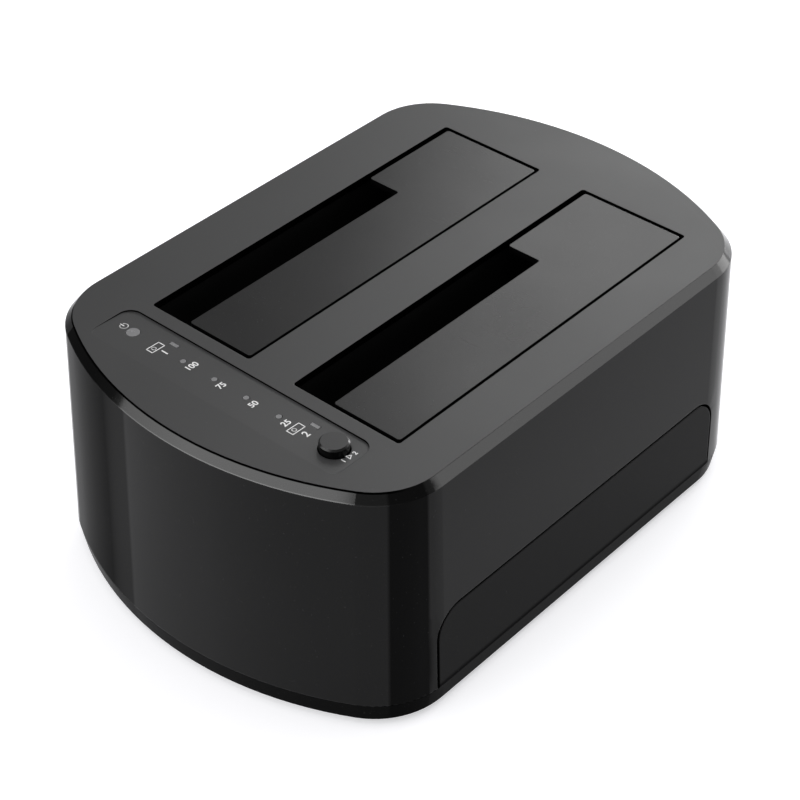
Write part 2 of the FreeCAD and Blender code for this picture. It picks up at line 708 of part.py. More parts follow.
def makeTopShell():
    body = newBody("top_shell")
    rim = newSketch(body, "RimOutline", "XY_Plane", topZ)
    addHousingOutline(rim, zero)
    housing = pad(body, rim, "Housing", shellHeight, taper=d.sideDraft, reverse=True)
    rimEdges = edgeNames(housing, lambda edge: abs(edge.BoundBox.ZMin - topZ.value) < 0.01)
    chamfer = body.newObject("PartDesign::Chamfer", "RimChamfer")
    chamfer.Base = (housing, rimEdges)
    chamfer.ChamferType = "Two distances"
    bind(chamfer, "Size", d.chamferRun)
    bind(chamfer, "Size2", d.chamferDrop)
    body.Tip = chamfer
    doc.recompute()
    hollow = body.newObject("PartDesign::Boolean", "Cavity")
    hollow.Type = "Cut"
    hollow.addObjects([makeCavityForm()])
    body.Tip = hollow
    doc.recompute()
    cutWingOpenings(body)
    cutSlots(body)
    cutPanel(body)
    addBosses(body)
    addRearRecess(body)


def makeCavityForm():
    # The room inside the top shell, less the thick wall round the rear connectors
    form = doc.addObject("PartDesign::Body", "CavityForm")
    outline = newSketch(form, "CavityOutline", "XY_Plane", underTop)
    addHousingOutline(outline, d.wallThickness)
    pad(form, outline, "Room", shellHeight, taper=d.sideDraft, reverse=True)
    inner = newSketch(form, "PortBlockOutline", "XZ_Plane", -(portFace - d.portWall))
    half = d.portHalf + d.portBlock
    addRectangle(inner, -half, half, portLow - d.portBlock,
                 portLow + d.portHeight + d.portBlock)
    pocket(form, inner, "PortBlock", d.portReach)
    return form


def cutWingOpenings(body):
    side = newSketch(body, "WingOpening", "YZ_Plane")
    half = d.wingHalfLength + d.wingGap
    top = d.footHeight + d.wingHeight + d.wingGap
    radius = d.wingCorner + d.wingGap
    low = seamZ - 2.0
    addPath(side, [(-half, low), (half, low), (half, top - radius, radius), (half - radius, top),
                   (radius - half, top, radius), (-half, top - radius)])
    pocket(body, side, "WingOpenings", symmetric=True)


def cutSlots(body):
    slots = newSketch(body, "SlotOutlines", "XY_Plane", topZ)
    for bay in (0, 1):
        addRoundRectangle(slots, bayLeft(bay), bayLeft(bay) + d.bayWidth, bayFront, bayBack,
                          d.slotCorner)
    pocket(body, slots, "Slots", d.topThickness + 1.0)


def cutPanel(body):
    sunk = newSketch(body, "PanelOutline", "XY_Plane")
    sunk.AttachmentOffset = Placement(Vector(0, panelFront.value, topZ.value),
                                      Rotation(Vector(-1, 0, 0), d.panelTilt.value))
    bind(sunk, "AttachmentOffset.Base.y", panelFront)
    bind(sunk, "AttachmentOffset.Base.z", topZ)
    bind(sunk, "AttachmentOffset.Rotation.Angle", d.panelTilt)
    addRoundRectangle(sunk, panelLeft, panelRight, asSize(-0.6), panelBack - panelFront,
                      d.panelCorner)
    pocket(body, sunk, "PanelRecess", asSize(2.0), reverse=True)
    holes = newSketch(body, "PanelHoles", "XY_Plane", topZ)
    addCircle(holes, powerLampPlace, lampRow, d.powerLampRadius + d.lampPlay)
    addCircle(holes, buttonPlace, lampRow, d.buttonRadius + d.buttonPlay)
    for place in progressPlaces:
        addCircle(holes, place, lampRow, d.progressRadius + d.lampPlay)
    halfLength = d.driveLampLength / 2 + d.lampPlay
    halfWidth = d.driveLampWidth / 2 + d.lampPlay
    for place in drivePlaces:
        addRectangle(holes, place - halfLength, place + halfLength,
                     driveLampRow - halfWidth, driveLampRow + halfWidth)
    pocket(body, holes, "LampHoles", d.topThickness + 1.0)


def addBosses(body):
    wellPlaces = wellScrews(0) + wellScrews(1)
    bossSets = [
        ("CaseBosses", casePosts, d.caseBossRadius, underTop - postTopZ, d.screwRadius,
         d.screwBite + 1.0),
        ("WellBosses", wellPlaces, d.earBossRadius, d.earBoss, d.smallScrewRadius,
         d.smallBite + 1.0),
        ("PanelBosses", panelBosses, d.smallHead, d.panelBoardDrop, d.smallScrewRadius,
         d.panelBoardDrop - 0.6),
    ]
    for name, places, radius, length, hole, depth in bossSets:
        outline = newSketch(body, name + "Outline", "XY_Plane", underTop)
        ends = newSketch(body, name + "Holes", "XY_Plane", underTop - length)
        for x, y in places:
            addCircle(outline, x, y, radius)
            addCircle(ends, x, y, hole)
        pad(body, outline, name, length, reverse=True)
        pocket(body, ends, name + "Bores", depth, reverse=True)
    pegOutline = newSketch(body, "PegOutline", "XY_Plane", underTop)
    for x, y in pegs:
        addCircle(pegOutline, x, y, d.pegRadius)
    pad(body, pegOutline, "GuidePegs", d.guideBarThickness + 0.5, reverse=True)


def addRearRecess(body):
    recess = newSketch(body, "RecessOutline", "XZ_Plane", -portFace)
    addRoundRectangle(recess, -d.portHalf, d.portHalf, portLow, portLow + d.portHeight,
                      d.portCorner)
    pocket(body, recess, "RearRecess", d.portReach)
    holes = newSketch(body, "PortHoles", "XZ_Plane", -portFace)
    play = d.portGap
    addUsbOutline(holes, play)
    addCircle(holes, d.jackPlace, boardTopZ + d.jackAxis, d.jackBore + 0.6)
    middle = boardTopZ + d.rockerAxis
    addRectangle(holes, d.rockerPlace - d.rockerBodyHalf, d.rockerPlace + d.rockerBodyHalf,
                 middle - d.rockerBodyHeight / 2, middle + d.rockerBodyHeight / 2)
    pocket(body, holes, "PortOpenings", d.portWall + 1.0, reverse=True)


def addUsbOutline(sketch, play):
    half = d.usbHalf + play
    low = boardTopZ - play
    high = boardTopZ + d.usbHeight + play
    bevel = d.usbBevel
    x = d.usbPlace
    addPath(sketch, [(x - half, low), (x + half, low), (x + half, high - bevel),
                     (x + half - bevel, high), (x + bevel - half, high),
                     (x - half, high - bevel)])


def makeBaseShell():
    body = newBody("base_shell")
    band = newSketch(body, "BandOutline", "XY_Plane", seamZ)
    addHousingOutline(band, -seamGrow)
    pan = pad(body, band, "Band", d.bandHeight, taper=-d.bandDraft, reverse=True)
    bevelEdges(body, "BandEdge", pan,
               lambda edge: abs(edge.BoundBox.ZMax - d.footHeight.value) < 0.01, d.bandEdge)
    cavity = newSketch(body, "PanOutline", "XY_Plane", seamZ)
    lipInset = d.wallThickness + d.lipGap
    addHousingOutline(cavity, lipInset + d.lipThickness - seamGrow)
    pocket(body, cavity, "Pan", d.bandHeight - d.floorThickness)
    lip = newSketch(body, "LipOutline", "XY_Plane", seamZ)
    addHousingOutline(lip, lipInset - seamGrow)
    addHousingOutline(lip, lipInset + d.lipThickness - seamGrow)
    pad(body, lip, "Lip", d.lipHeight)
    lipCut = newSketch(body, "LipCut", "XY_Plane", seamZ + d.lipHeight)
    half = d.portHalf + d.portBlock + 0.6
    addRectangle(lipCut, -half, half, portFace - d.portWall * 3, portFace + d.portReach)
    pocket(body, lipCut, "LipGap", d.lipHeight)
    addWings(body)
    addPosts(body)
    cutFloor(body)


def addWings(body):
    profile = newSketch(body, "WingProfile", "XZ_Plane")
    top = d.footHeight + d.wingHeight
    wall = d.wallThickness
    for side in (asSize(1), asSize(-1)):
        corners = [(sideAt(top), top), (sideAt(seamZ), seamZ),
                   (sideAt(seamZ) - wall, seamZ), (sideAt(top) - wall, top)]
        addPath(profile, [(side * x, z) for x, z in corners])
    wings = pad(body, profile, "Wings", d.wingHalfLength * 2, symmetric=True)

    def isTopCorner(edge):
        high = abs(edge.BoundBox.ZMin - top.value) < 0.01
        flat = edge.BoundBox.YLength < 0.01
        end = abs(abs(edge.CenterOfMass.y) - d.wingHalfLength.value) < 0.01
        return high and flat and end

    roundEdges(body, "WingCorners", wings, isTopCorner, d.wingCorner)


def addPosts(body):
    sets = [("CasePosts", casePosts, d.casePostRadius, postTopZ),
            ("Standoffs", standoffs, d.standoffRadius, boardZ)]
    for name, places, radius, top in sets:
        outline = newSketch(body, name + "Outline", "XY_Plane", baseFloorZ)
        for x, y in places:
            addCircle(outline, x, y, radius)
        pad(body, outline, name, top - baseFloorZ)
    seats = newSketch(body, "ScrewSeats", "XY_Plane", d.footHeight)
    shanks = newSketch(body, "ScrewHoles", "XY_Plane", postTopZ)
    for x, y in casePosts:
        addCircle(seats, x, y, d.screwHead + 0.3)
        addCircle(shanks, x, y, d.screwRadius + 0.2)
    pocket(body, seats, "SeatBores", d.screwSeat, reverse=True)
    pocket(body, shanks, "ShankBores", d.casePostTop)
    blind = newSketch(body, "StandoffHoles", "XY_Plane", boardZ)
    for x, y in standoffs:
        addCircle(blind, x, y, d.smallScrewRadius)
    pocket(body, blind, "StandoffBores", d.smallBite + 0.6)


def cutFloor(body):
    seats = newSketch(body, "FootSeats", "XY_Plane", d.footHeight)
    for x, y in footPlaces:
        addCircle(seats, x, y, d.footRadius + 0.1)
    pocket(body, seats, "FootRecesses", d.footSink, reverse=True)
    vent = newSketch(body, "Vent", "XY_Plane", baseFloorZ)
    addRectangle(vent, -d.ventHalf, d.ventHalf, d.ventStart, d.ventStart + d.ventWidth)
    slot = pocket(body, vent, "VentSlot", d.floorThickness + 1.0)
    row = body.newObject("PartDesign::LinearPattern", "VentRow")
    row.Originals = [slot]
    row.Direction = (vent, ["V_Axis"])
    row.Occurrences = 11
    bind(row, "Length", d.ventPitch * 10)
    body.Tip = row
    doc.recompute()


def makeFeet():
    feet = []
    for index, place in enumerate(footPlaces):
        disc = cylinder("FootDisc%d" % index, place[0], place[1], zero, d.footRadius,
                        d.footHeight + d.footSink)
        doc.recompute()
        soft = doc.addObject("Part::Chamfer", "Foot%d" % index)
        soft.Base = disc
        edges = [(number + 1, 0.5, 0.5) for number, edge in enumerate(disc.Shape.Edges)
                 if edge.BoundBox.ZMax < 0.01]
        soft.Edges = edges
        feet.append(soft)
    group("Feet", feet, "rubber_feet")


# Wells and flaps

def makeWell(bay):
    body = newBody("bay_well_%d" % (bay + 1))
    left, right = wellSides(bay)
    front = bayFront - d.wellMargin
    back = bayBack + d.wellMargin
    wall = d.wellWall
    bottom = wellFloorTop - d.wellFloor
    outer = newSketch(body, "WellOuter", "XY_Plane", bottom)
    addRoundRectangle(outer, left - wall, right + wall, front - wall, back + wall, asSize(2.2))
    pad(body, outer, "Well", underTop - bottom)
    inner = newSketch(body, "WellInner", "XY_Plane", underTop)
    addRoundRectangle(inner, left, right, front, back, asSize(0.8))
    pocket(body, inner, "WellRoom", underTop - wellFloorTop)
    floorCut = newSketch(body, "SocketCut", "XY_Plane", wellFloorTop)
    x = bayLeft(bay) + d.socketPlace
    y = bayFront + d.socketRow
    addRoundRectangle(floorCut, x - d.socketBladeHalf - 0.5, x + d.socketBladeHalf + 0.5,
                      y - d.socketHalf - 0.5, y + d.socketHalf + 0.5, asSize(0.5))
    pocket(body, floorCut, "SocketMouth", d.wellFloor + 1.0)
    ribs = newSketch(body, "GuideRibs", "XY_Plane", wellFloorTop)
    for lane in (left + d.guideRibInset, left + d.guideRibInset + d.guideRibPitch):
        addRectangle(ribs, lane, lane + d.guideRibWidth, front - 0.3, front + d.guideRib)
        addRectangle(ribs, lane, lane + d.guideRibWidth, back - d.guideRib, back + 0.3)
    pad(body, ribs, "Guides", d.wellDepth - d.guideRibStart)
    addPinBosses(body, bay, front, back)
    addEars(body, bay, left - wall, right + wall)


def addPinBosses(body, bay, front, back):
    x = pivotX(bay)
    outline = newSketch(body, "PinBossOutline", "XY_Plane", underTop)
    reach = d.wellWall + d.pinBoss
    addRectangle(outline, x - d.pinBossHalf, x + d.pinBossHalf, front - reach, front - 0.4)
    addRectangle(outline, x - d.pinBossHalf, x + d.pinBossHalf, back + 0.4, back + reach)
    pad(body, outline, "PinBosses", d.pivotDepth - d.topThickness + d.pinBossHalf, reverse=True)
    bore = newSketch(body, "PinBore", "XZ_Plane")
    addCircle(bore, x, pivotZ, d.pinRadius)
    pocket(body, bore, "PinBores", symmetric=True)


def addEars(body, bay, wallLeft, wallRight):
    outline = newSketch(body, "EarOutline", "XY_Plane", earTop)
    holes = newSketch(body, "EarHoles", "XY_Plane", earTop)
    (leftX, leftY), (rightX, rightY) = wellScrews(bay)
    half = d.earHalf
    addRoundRectangle(outline, leftX - half, wallLeft + 0.9, leftY - half, leftY + half,
                      asSize(0.85))
    addRoundRectangle(outline, wallRight - 0.9, rightX + half, rightY - half, rightY + half,
                      asSize(0.85))
    pad(body, outline, "Ears", d.earThickness, reverse=True)
    for x, y in ((leftX, leftY), (rightX, rightY)):
        addCircle(holes, x, y, d.smallScrewRadius + 0.15)
    pocket(body, holes, "EarBores", d.earThickness)


def makeFlap(bay):
    body = newBody("bay_flap_%d" % (bay + 1))
    left = bayLeft(bay)
    front = bayFront + d.flapGapFront
    back = bayBack - d.flapGapBack
    right = left + d.bayWidth - d.flapGapRight
    wide = left + d.flapGapLeft
    notchX = left + d.notchWidth
    notchY = bayFront + d.notchLength
    plate = newSketch(body, "FlapOutline", "XY_Plane", topZ)
    addPath(plate, [(notchX, front), (right, front), (right, back), (wide, back),
                    (wide, notchY), (notchX, notchY)])
    flat = pad(body, plate, "Plate", d.flapThickness, reverse=True)
    roundEdges(body, "PlateCorners", flat, isUpright, d.flapCorner)
    x = pivotX(bay)
    under = topZ - d.flapThickness
    starts = [front + d.knuckleInset,
              (front + back) / 2 - d.knuckleLength / 2,
              back - d.knuckleInset - d.knuckleLength]
    for index, start in enumerate(starts):
        arm = newSketch(body, "ArmOutline%d" % index, "XZ_Plane", -start)
        addRectangle(arm, x - d.knuckleRadius * 2, right, pivotZ, under + 0.2)
        pad(body, arm, "Arm%d" % index, d.knuckleLength, reverse=True)
        knuckle = newSketch(body, "KnuckleOutline%d" % index, "XZ_Plane", -start)
        addCircle(knuckle, x, pivotZ, d.knuckleRadius)
        pad(body, knuckle, "Knuckle%d" % index, d.knuckleLength, reverse=True)
    bore = newSketch(body, "FlapBore", "XZ_Plane")
    addCircle(bore, x, pivotZ, d.pinRadius + d.pinClearance)
    pocket(body, bore, "FlapBores", symmetric=True)
    ribs = newSketch(body, "FlapRibs", "XY_Plane", under)
    for lane in (notchX + d.flapRibInset, x - d.springLeg - d.flapRibInset):
        addRectangle(ribs, lane, lane + d.flapRibThickness, front + d.flapRibInset,
                     back - d.flapRibInset)
    pad(body, ribs, "LongRibs", d.flapRib, reverse=True)
    seat = newSketch(body, "SpringSeat", "XY_Plane", under)
    springY = springStart(front, back)
    addRectangle(seat, x - d.springLeg, x - d.knuckleRadius * 2, springY - 0.4,
                 springY + springLength() + 0.4)
    seatDrop = (d.pivotDepth - d.flapThickness - d.pinRadius - d.springPlay - d.springWire
                - 0.04)
    pad(body, seat, "SpringSeatPad", seatDrop, reverse=True)


def springLength():
    return d.springWire * 1.5 * d.springTurns


def springStart(front, back):
    return (front + back) / 2 + d.knuckleLength / 2 + 1.2


def makeSpring(bay):
    # Torsion spring: a coil round the pin, one leg under the flap, one beside the well's wall
    front = bayFront + d.flapGapFront
    back = bayBack - d.flapGapBack
    wire = d.springWire.value / 2
    mean = d.pinRadius.value + d.springPlay.value + wire
    length = springLength().value
    # A quarter turn more than the whole turns puts the legs at a right angle
    turns = d.springTurns.value + 0.25
    pitch = length / turns
    coil = Part.makeHelix(pitch, length, mean)
    slope = pitch / (2 * math.pi * mean)
    start = Vector(mean, 0, 0)
    end = Vector(0, mean, length)
    inward = Vector(0, 1, slope).normalize()
    outward = Vector(-1, 0, slope).normalize()
    tip = start - inward * d.springLeg.value
    lower = Part.makeLine(tip, start)
    upper = Part.makeLine(end, end + outward * d.springLeg.value)
    path = Part.Wire([lower] + coil.Edges + [upper])
    # An eight sided wire keeps the facets of the coil few
    across = inward.cross(Vector(1, 0, 0)).normalize()
    corners = []
    for step in range(9):
        turn = Rotation(inward, 22.5 + 45.0 * step)
        corners.append(tip + turn.multVec(across * wire))
    section = Part.makePolygon(corners)
    thing = doc.addObject("Part::Feature", "Spring%d" % bay)
    # The coil runs forward along the pin
    thing.Shape = path.makePipeShell([section], True, True)
    thing.Placement = Placement(Vector(pivotX(bay).value, springStart(front, back).value
                                       + length, pivotZ.value), Rotation(Vector(1, 0, 0), 90))
    keep(thing, "flap_spring_%d" % (bay + 1))


def makePin(bay):
    reach = d.wellMargin + d.wellWall + d.pinBoss
    pin = cylinder("Pin%d" % bay, pivotX(bay), bayFront - reach, pivotZ, d.pinRadius,
                   d.bayLength + reach * 2, "Y")
    keep(pin, "flap_pin_%d" % (bay + 1))


# Main board and what stands on it

def makeMainBoard():
    body = newBody("main_board")
    outline = newSketch(body, "BoardOutline", "XY_Plane", boardZ)
    back = connectorFace - d.boardBackGap
    half = d.boardTongueHalf
    addPath(outline, [(-boardHalf, boardFront), (boardHalf, boardFront),
                      (boardHalf, boardShoulder), (half, boardShoulder), (half, back),
                      (-half, back), (-half, boardShoulder), (-boardHalf, boardShoulder)])
    pad(body, outline, "Board", d.boardThickness)
    holes = newSketch(body, "BoardHoles", "XY_Plane", boardTopZ)
    for x, y in standoffs:
        addCircle(holes, x, y, d.smallScrewRadius + 0.3)
    pocket(body, holes, "BoardBores", d.boardThickness)


def makeSocket(bay):
    body = newBody("sata_socket_%d" % (bay + 1))
    x = bayLeft(bay) + d.socketPlace
    y = bayFront + d.socketRow
    top = boardTopZ + d.socketTop
    base = newSketch(body, "SocketBase", "XY_Plane", boardTopZ)
    addRectangle(base, x - d.socketBaseHalf, x + d.socketBaseHalf, y - d.socketHalf,
                 y + d.socketHalf)
    pad(body, base, "Base", d.socketBase)
    blade = newSketch(body, "SocketBlade", "XY_Plane", boardTopZ)
    inner = d.socketHalf - d.socketPost
    addRectangle(blade, x - d.socketBladeHalf, x + d.socketBladeHalf, y - inner, y + inner)
    pad(body, blade, "Blade", d.socketTop)
    posts = newSketch(body, "GuidePosts", "XY_Plane", boardTopZ)
    for side in (asSize(-1), asSize(1)):
        near = y + side * (inner - 0.2)
        far = y + side * d.socketHalf
        low, high = (far, near) if side.value < 0 else (near, far)
        addRectangle(posts, x - d.socketBladeHalf, x + d.socketBladeHalf, low, high)
    raised = pad(body, posts, "Posts", d.socketTop + d.socketPostRise)
    tip = (top + d.socketPostRise).value
    bevel = body.newObject("PartDesign::Chamfer", "PostTips")
    bevel.Base = (raised, edgeNames(raised, lambda edge: abs(edge.BoundBox.ZMin - tip) < 0.01))
    bevel.Size = 0.6
    body.Tip = bevel
    doc.recompute()
    slots = newSketch(body, "ContactSlots", "XY_Plane", top)
    for low, high in socketSlots(y):
        half = d.socketSlot / 2
        leg = half + 1.1
        addPath(slots, [(x - half, low), (x + leg, low), (x + leg, low + d.socketSlot),
                        (x + half, low + d.socketSlot), (x + half, high), (x - half, high)])
    pocket(body, slots, "Slots", d.socketSlotDepth)


def socketSlots(y):
    # The short slot for data and the long one for power, centred together
    total = d.socketShort + d.socketBridge + d.socketLong
    start = y - total / 2
    return [(start, start + d.socketShort),
            (start + d.socketShort + d.socketBridge, start + total)]


def makeContacts(bay):
    x = bayLeft(bay) + d.socketPlace
    y = bayFront + d.socketRow
    low = boardTopZ + d.socketTop - d.socketSlotDepth
    solids = []
    for (start, end), count in zip(socketSlots(y), (7, 15)):
        room = end - d.socketSlot - start
        first = start + d.socketSlot + (room - d.contactPitch * (count - 1)) / 2
        if count == 7:
            first = start + d.socketSlot * 0.5 + (room - d.contactPitch * (count - 1)) / 2
        for index in range(count):
            place = first + d.contactPitch * index
            name = "Contact%d_%d_%d" % (bay, count, index)
            solids.append(box(name, x - d.socketSlot / 2, x - d.socketSlot / 2
                              + d.contactThickness, place - d.contactWidth / 2,
                              place + d.contactWidth / 2, low, low + d.socketSlotDepth - 0.6))
    group("Contacts%d" % bay, solids, "sata_contacts_%d" % (bay + 1))


def makeUsb():
    body = newBody("usb_socket")
    face = newSketch(body, "UsbOutline", "XZ_Plane", -connectorFace)
    addUsbOutline(face, zero)
    pad(body, face, "UsbShell", d.usbLength)
    room = newSketch(body, "UsbRoom", "XZ_Plane", -connectorFace)
    addUsbInside(room)
    pocket(body, room, "UsbMouth", d.usbLength - d.usbWall * 3, reverse=True)
    middle = boardTopZ + d.usbHeight / 2
    back = connectorFace - d.usbLength + d.usbWall * 3
    tongue = block("UsbTongue", d.usbPlace, back + d.usbTongueLength / 2, d.usbTongueHalf,
                   d.usbTongueLength / 2, middle - d.usbTongueHeight / 2,
                   middle + d.usbTongueHeight / 2)
    keep(tongue, "usb_tongue")


def addUsbInside(sketch):
    wall = d.usbWall
    half = d.usbHalf - wall
    low = boardTopZ + wall
    high = boardTopZ + d.usbHeight - wall
    bevel = d.usbBevel
    x = d.usbPlace
    addPath(sketch, [(x - half, low), (x + half, low), (x + half, high - bevel),
                     (x + half - bevel, high), (x + bevel - half, high),
                     (x - half, high - bevel)])


def makeJack():
    body = newBody("dc_jack")
    outline = newSketch(body, "JackOutline", "XZ_Plane", -connectorFace)
    x = d.jackPlace
    axis = boardTopZ + d.jackAxis
    addRectangle(outline, x - d.jackHalf, x + d.jackHalf, boardTopZ, boardTopZ + d.jackHeight)
    pad(body, outline, "JackBlock", d.jackLength)
    bore = newSketch(body, "JackBore", "XZ_Plane", -connectorFace)
    addCircle(bore, x, axis, d.jackBore)
    pocket(body, bore, "JackBoreCut", d.jackBoreDepth, reverse=True)
    pin = cylinder("JackPin", x, connectorFace - d.jackBoreDepth, axis, d.jackPin,
                   d.jackPinLength, "Y")
    keep(pin, "dc_pin")


def makePowerSwitch():
    body = newBody("power_switch")
    x = d.rockerPlace
    middle = boardTopZ + d.rockerAxis
    flange = newSketch(body, "FlangeOutline", "XZ_Plane", -portFace)
    halfFlange = d.rockerFlangeHeight / 2
    addRoundRectangle(flange, x - d.rockerFlangeHalf, x + d.rockerFlangeHalf,
                      middle - halfFlange, middle + halfFlange, asSize(0.8))
    pad(body, flange, "Flange", d.rockerFlange, reverse=True)
    trunk = newSketch(body, "TrunkOutline", "XZ_Plane", -portFace)
    halfBody = d.rockerBodyHeight / 2
    addRectangle(trunk, x - d.rockerBodyHalf, x + d.rockerBodyHalf, middle - halfBody,
                 middle + halfBody)
    pad(body, trunk, "Trunk", d.rockerBodyLength)
    room = newSketch(body, "RockerRoom", "XZ_Plane", -(portFace + d.rockerFlange))
    insideX = d.rockerBodyHalf - d.rockerWall
    insideZ = halfBody - d.rockerWall
    addRectangle(room, x - insideX, x + insideX, middle - insideZ, middle + insideZ)
    pocket(body, room, "Cavity", d.rockerCavity, reverse=True)
    pivotY = portFace + d.rockerFlange - d.rockerPivot
    bearing = newSketch(body, "Bearings", "XY_Plane", middle)
    addCircle(bearing, x, pivotY, d.trunnionRadius + d.trunnionPlay)
    pocket(body, bearing, "BearingBores", (insideZ + d.rockerWall * 0.7) * 2, symmetric=True)
    makeRocker(x, middle, pivotY, insideX, insideZ)
    makeTerminals(x, middle)


def makeRocker(x, middle, pivotY, insideX, insideZ):
    # The cap leans to one side at rest; its outline is drawn level and then turned
    body = newBody("switch_rocker")
    halfX = insideX - d.rockerPlay * 2
    halfZ = insideZ - d.rockerPlay
    cap = newSketch(body, "RockerOutline", "XY_Plane")
    crown = d.rockerCrown
    addPath(cap, [(-halfX, zero - 0.6), (halfX, zero - 0.6), (halfX, crown),
                  (zero, crown - 1.0), (-halfX, crown)])
    pad(body, cap, "Cap", halfZ * 2, symmetric=True)
    stub = newSketch(body, "TrunnionOutline", "XY_Plane")
    addCircle(stub, zero, zero, d.trunnionRadius)
    pad(body, stub, "Trunnions", (insideZ + d.rockerWall * 0.5) * 2, symmetric=True)
    body.Placement = Placement(Vector(x.value, pivotY.value, middle.value),
                               Rotation(Vector(0, 0, 1), d.rockerTilt.value))
    bind(body, "Placement.Base.x", x)
    bind(body, "Placement.Base.y", pivotY)
    bind(body, "Placement.Base.z", middle)
    bind(body, "Placement.Rotation.Angle", d.rockerTilt)


def makeTerminals(x, middle):
    backY = portFace - d.rockerBodyLength
    blades = []
    wires = []
    half = d.terminalLength / 2
    low = middle - d.terminalThickness / 2
    for index, side in enumerate(bothSides):
        place = x + side * d.terminalPlace
        blades.append(block("Blade%d" % index, place, backY - half, d.terminalHalf, half, low,
                            low + d.terminalThickness))
        wires.append(cylinder("Wire%d" % index, place, backY - d.terminalLength * 0.6,
                              boardTopZ, d.wireRadius, low - boardTopZ))
    group("Blades", blades, "switch_terminals")
    group("Wires", wires, "switch_wires")


def makeBoardParts():
    top = boardTopZ
    chip = block("BridgeChip", d.bridgeChipPlace, d.bridgeChipRow, d.bridgeChipHalf,
                 d.bridgeChipHalf, top, top + d.bridgeChipHeight)
    keep(chip, "bridge_chip")
    copier = block("CopyChip", d.copyChipPlace, d.copyChipRow, d.copyChipHalf, d.copyChipHalf,
                   top, top + d.copyChipHeight)
    keep(copier, "copy_chip")
    can = block("CrystalCan", d.crystalPlace, d.crystalRow, d.crystalHalf,
                d.crystalHalfLength, top, top + d.crystalHeight)
    keep(can, "crystal")
    coils = [block("Coil%d" % index, d.coilPlace + d.coilPitch * index, d.coilRow, d.coilHalf,
                   d.coilHalf, top, top + d.coilHeight) for index in range(2)]
    group("Coils", coils, "power_coils")
    row = boardFront + d.canGap
    cans = [cylinder("Can%d" % index, place, row, top, d.canRadius, d.canHeight)
            for index, place in enumerate((d.leftCanPlace, d.middleCanPlace,
                                           d.rightCanPlace))]
    group("Cans", cans, "capacitors")


# Control panel

def makePanelBoard():
    body = newBody("panel_board")
    outline = newSketch(body, "PanelBoardOutline", "XY_Plane", panelBoardTop)
    left = panelLeft + d.panelBoardInset
    back = panelBack - d.panelBoardGap
    addRoundRectangle(outline, left, left + d.panelBoardWidth, back - d.panelBoardLength, back,
                      asSize(2.0))
    pad(body, outline, "PanelBoardPlate", d.panelBoardThickness, reverse=True)
    holes = newSketch(body, "PanelBoardHoles", "XY_Plane", panelBoardTop)
    for x, y in panelBosses:
        addCircle(holes, x, y, d.smallScrewRadius + 0.2)
    pocket(body, holes, "PanelBoardBores", d.panelBoardThickness)


def makeLamps():
    top = panelBoardTop
    solids = [block("PowerChip", powerLampPlace, lampRow, asSize(1.5), asSize(0.9), top,
                    top + d.lampChip)]
    for index, place in enumerate(progressPlaces):
        solids.append(block("ProgressChip%d" % index, place, lampRow, asSize(0.8),
                            asSize(0.5), top, top + d.lampChip))
    for index, place in enumerate(drivePlaces):
        solids.append(block("DriveChip%d" % index, place, driveLampRow, asSize(0.8),
                            asSize(0.5), top, top + d.lampChip))
    group("LampChips", solids, "status_leds")


def makeLightGuide():
    # One clear moulding: a bar under the top face with a post up to each lamp
    foot = panelBoardTop + d.lampChip + d.lampChipGap
    barLow = underTop - d.guideBarThickness
    bar = box("GuideBar", powerLampPlace - d.guideBarMargin,
              drivePlaces[1] + d.guideBarMargin, lampRow - d.guideBarMargin,
              driveLampRow + d.guideBarMargin / 2, barLow, underTop)
    posts = [bar]
    rounds = [(powerLampPlace, d.powerLampRadius)]
    rounds += [(place, d.progressRadius) for place in progressPlaces]
    for index, (place, radius) in enumerate(rounds):
        posts.append(cylinder("LightPost%d" % index, place, lampRow, underTop, radius,
                              panelZ(lampRow) + d.lampProud - underTop))
        half = radius * 0.8
        posts.append(block("LightFoot%d" % index, place, lampRow, half, half, foot, barLow))
    for index, place in enumerate(drivePlaces):
        posts.append(block("LightBar%d" % index, place, driveLampRow, d.driveLampLength / 2,
                           d.driveLampWidth / 2, foot, panelZ(driveLampRow) + d.lampProud))
    solid = fuse("GuideSolid", posts)
    holes = fuse("GuideHoles", [cylinder("GuideHole%d" % index, x, y, barLow - 1.0,
                                         d.pegRadius, d.guideBarThickness + 1.0)
                                for index, (x, y) in enumerate(pegs)])
    keep(cut("LightGuide", solid, holes), "light_guide")


def makeButton():
    body = newBody("clone_button")
    profile = newSketch(body, "ButtonProfile", "XZ_Plane", -lampRow)
    x = buttonPlace
    topOfCap = topZ + d.buttonProud
    flangeTop = underTop - d.buttonLift
    low = panelBoardTop + d.plungerTop
    wide = d.buttonRadius + d.buttonFlange
    addPath(profile, [(x, topOfCap), (x, low), (x + wide, low), (x + wide, flangeTop),
                      (x + d.buttonRadius, flangeTop), (x + d.buttonRadius, topOfCap)])
    axis = profile.addGeometry(Part.LineSegment(Vector(x.value, 0, 0), Vector(x.value, 10, 0)),
                               True)
    pinPoint(profile, axis, 1, x, zero)
    pinPoint(profile, axis, 2, x, asSize(10.0))
    turned = body.newObject("PartDesign::Revolution", "Cap")
    turned.Profile = profile
    turned.ReferenceAxis = (profile, ["Axis0"])
    turned.Angle = 360.0
    body.Tip = turned
    doc.recompute()
    bevelEdges(body, "CapEdge", turned,
               lambda edge: abs(edge.BoundBox.ZMin - topOfCap.value) < 0.01
               and edge.BoundBox.XLength > 1.0, d.buttonEdge)


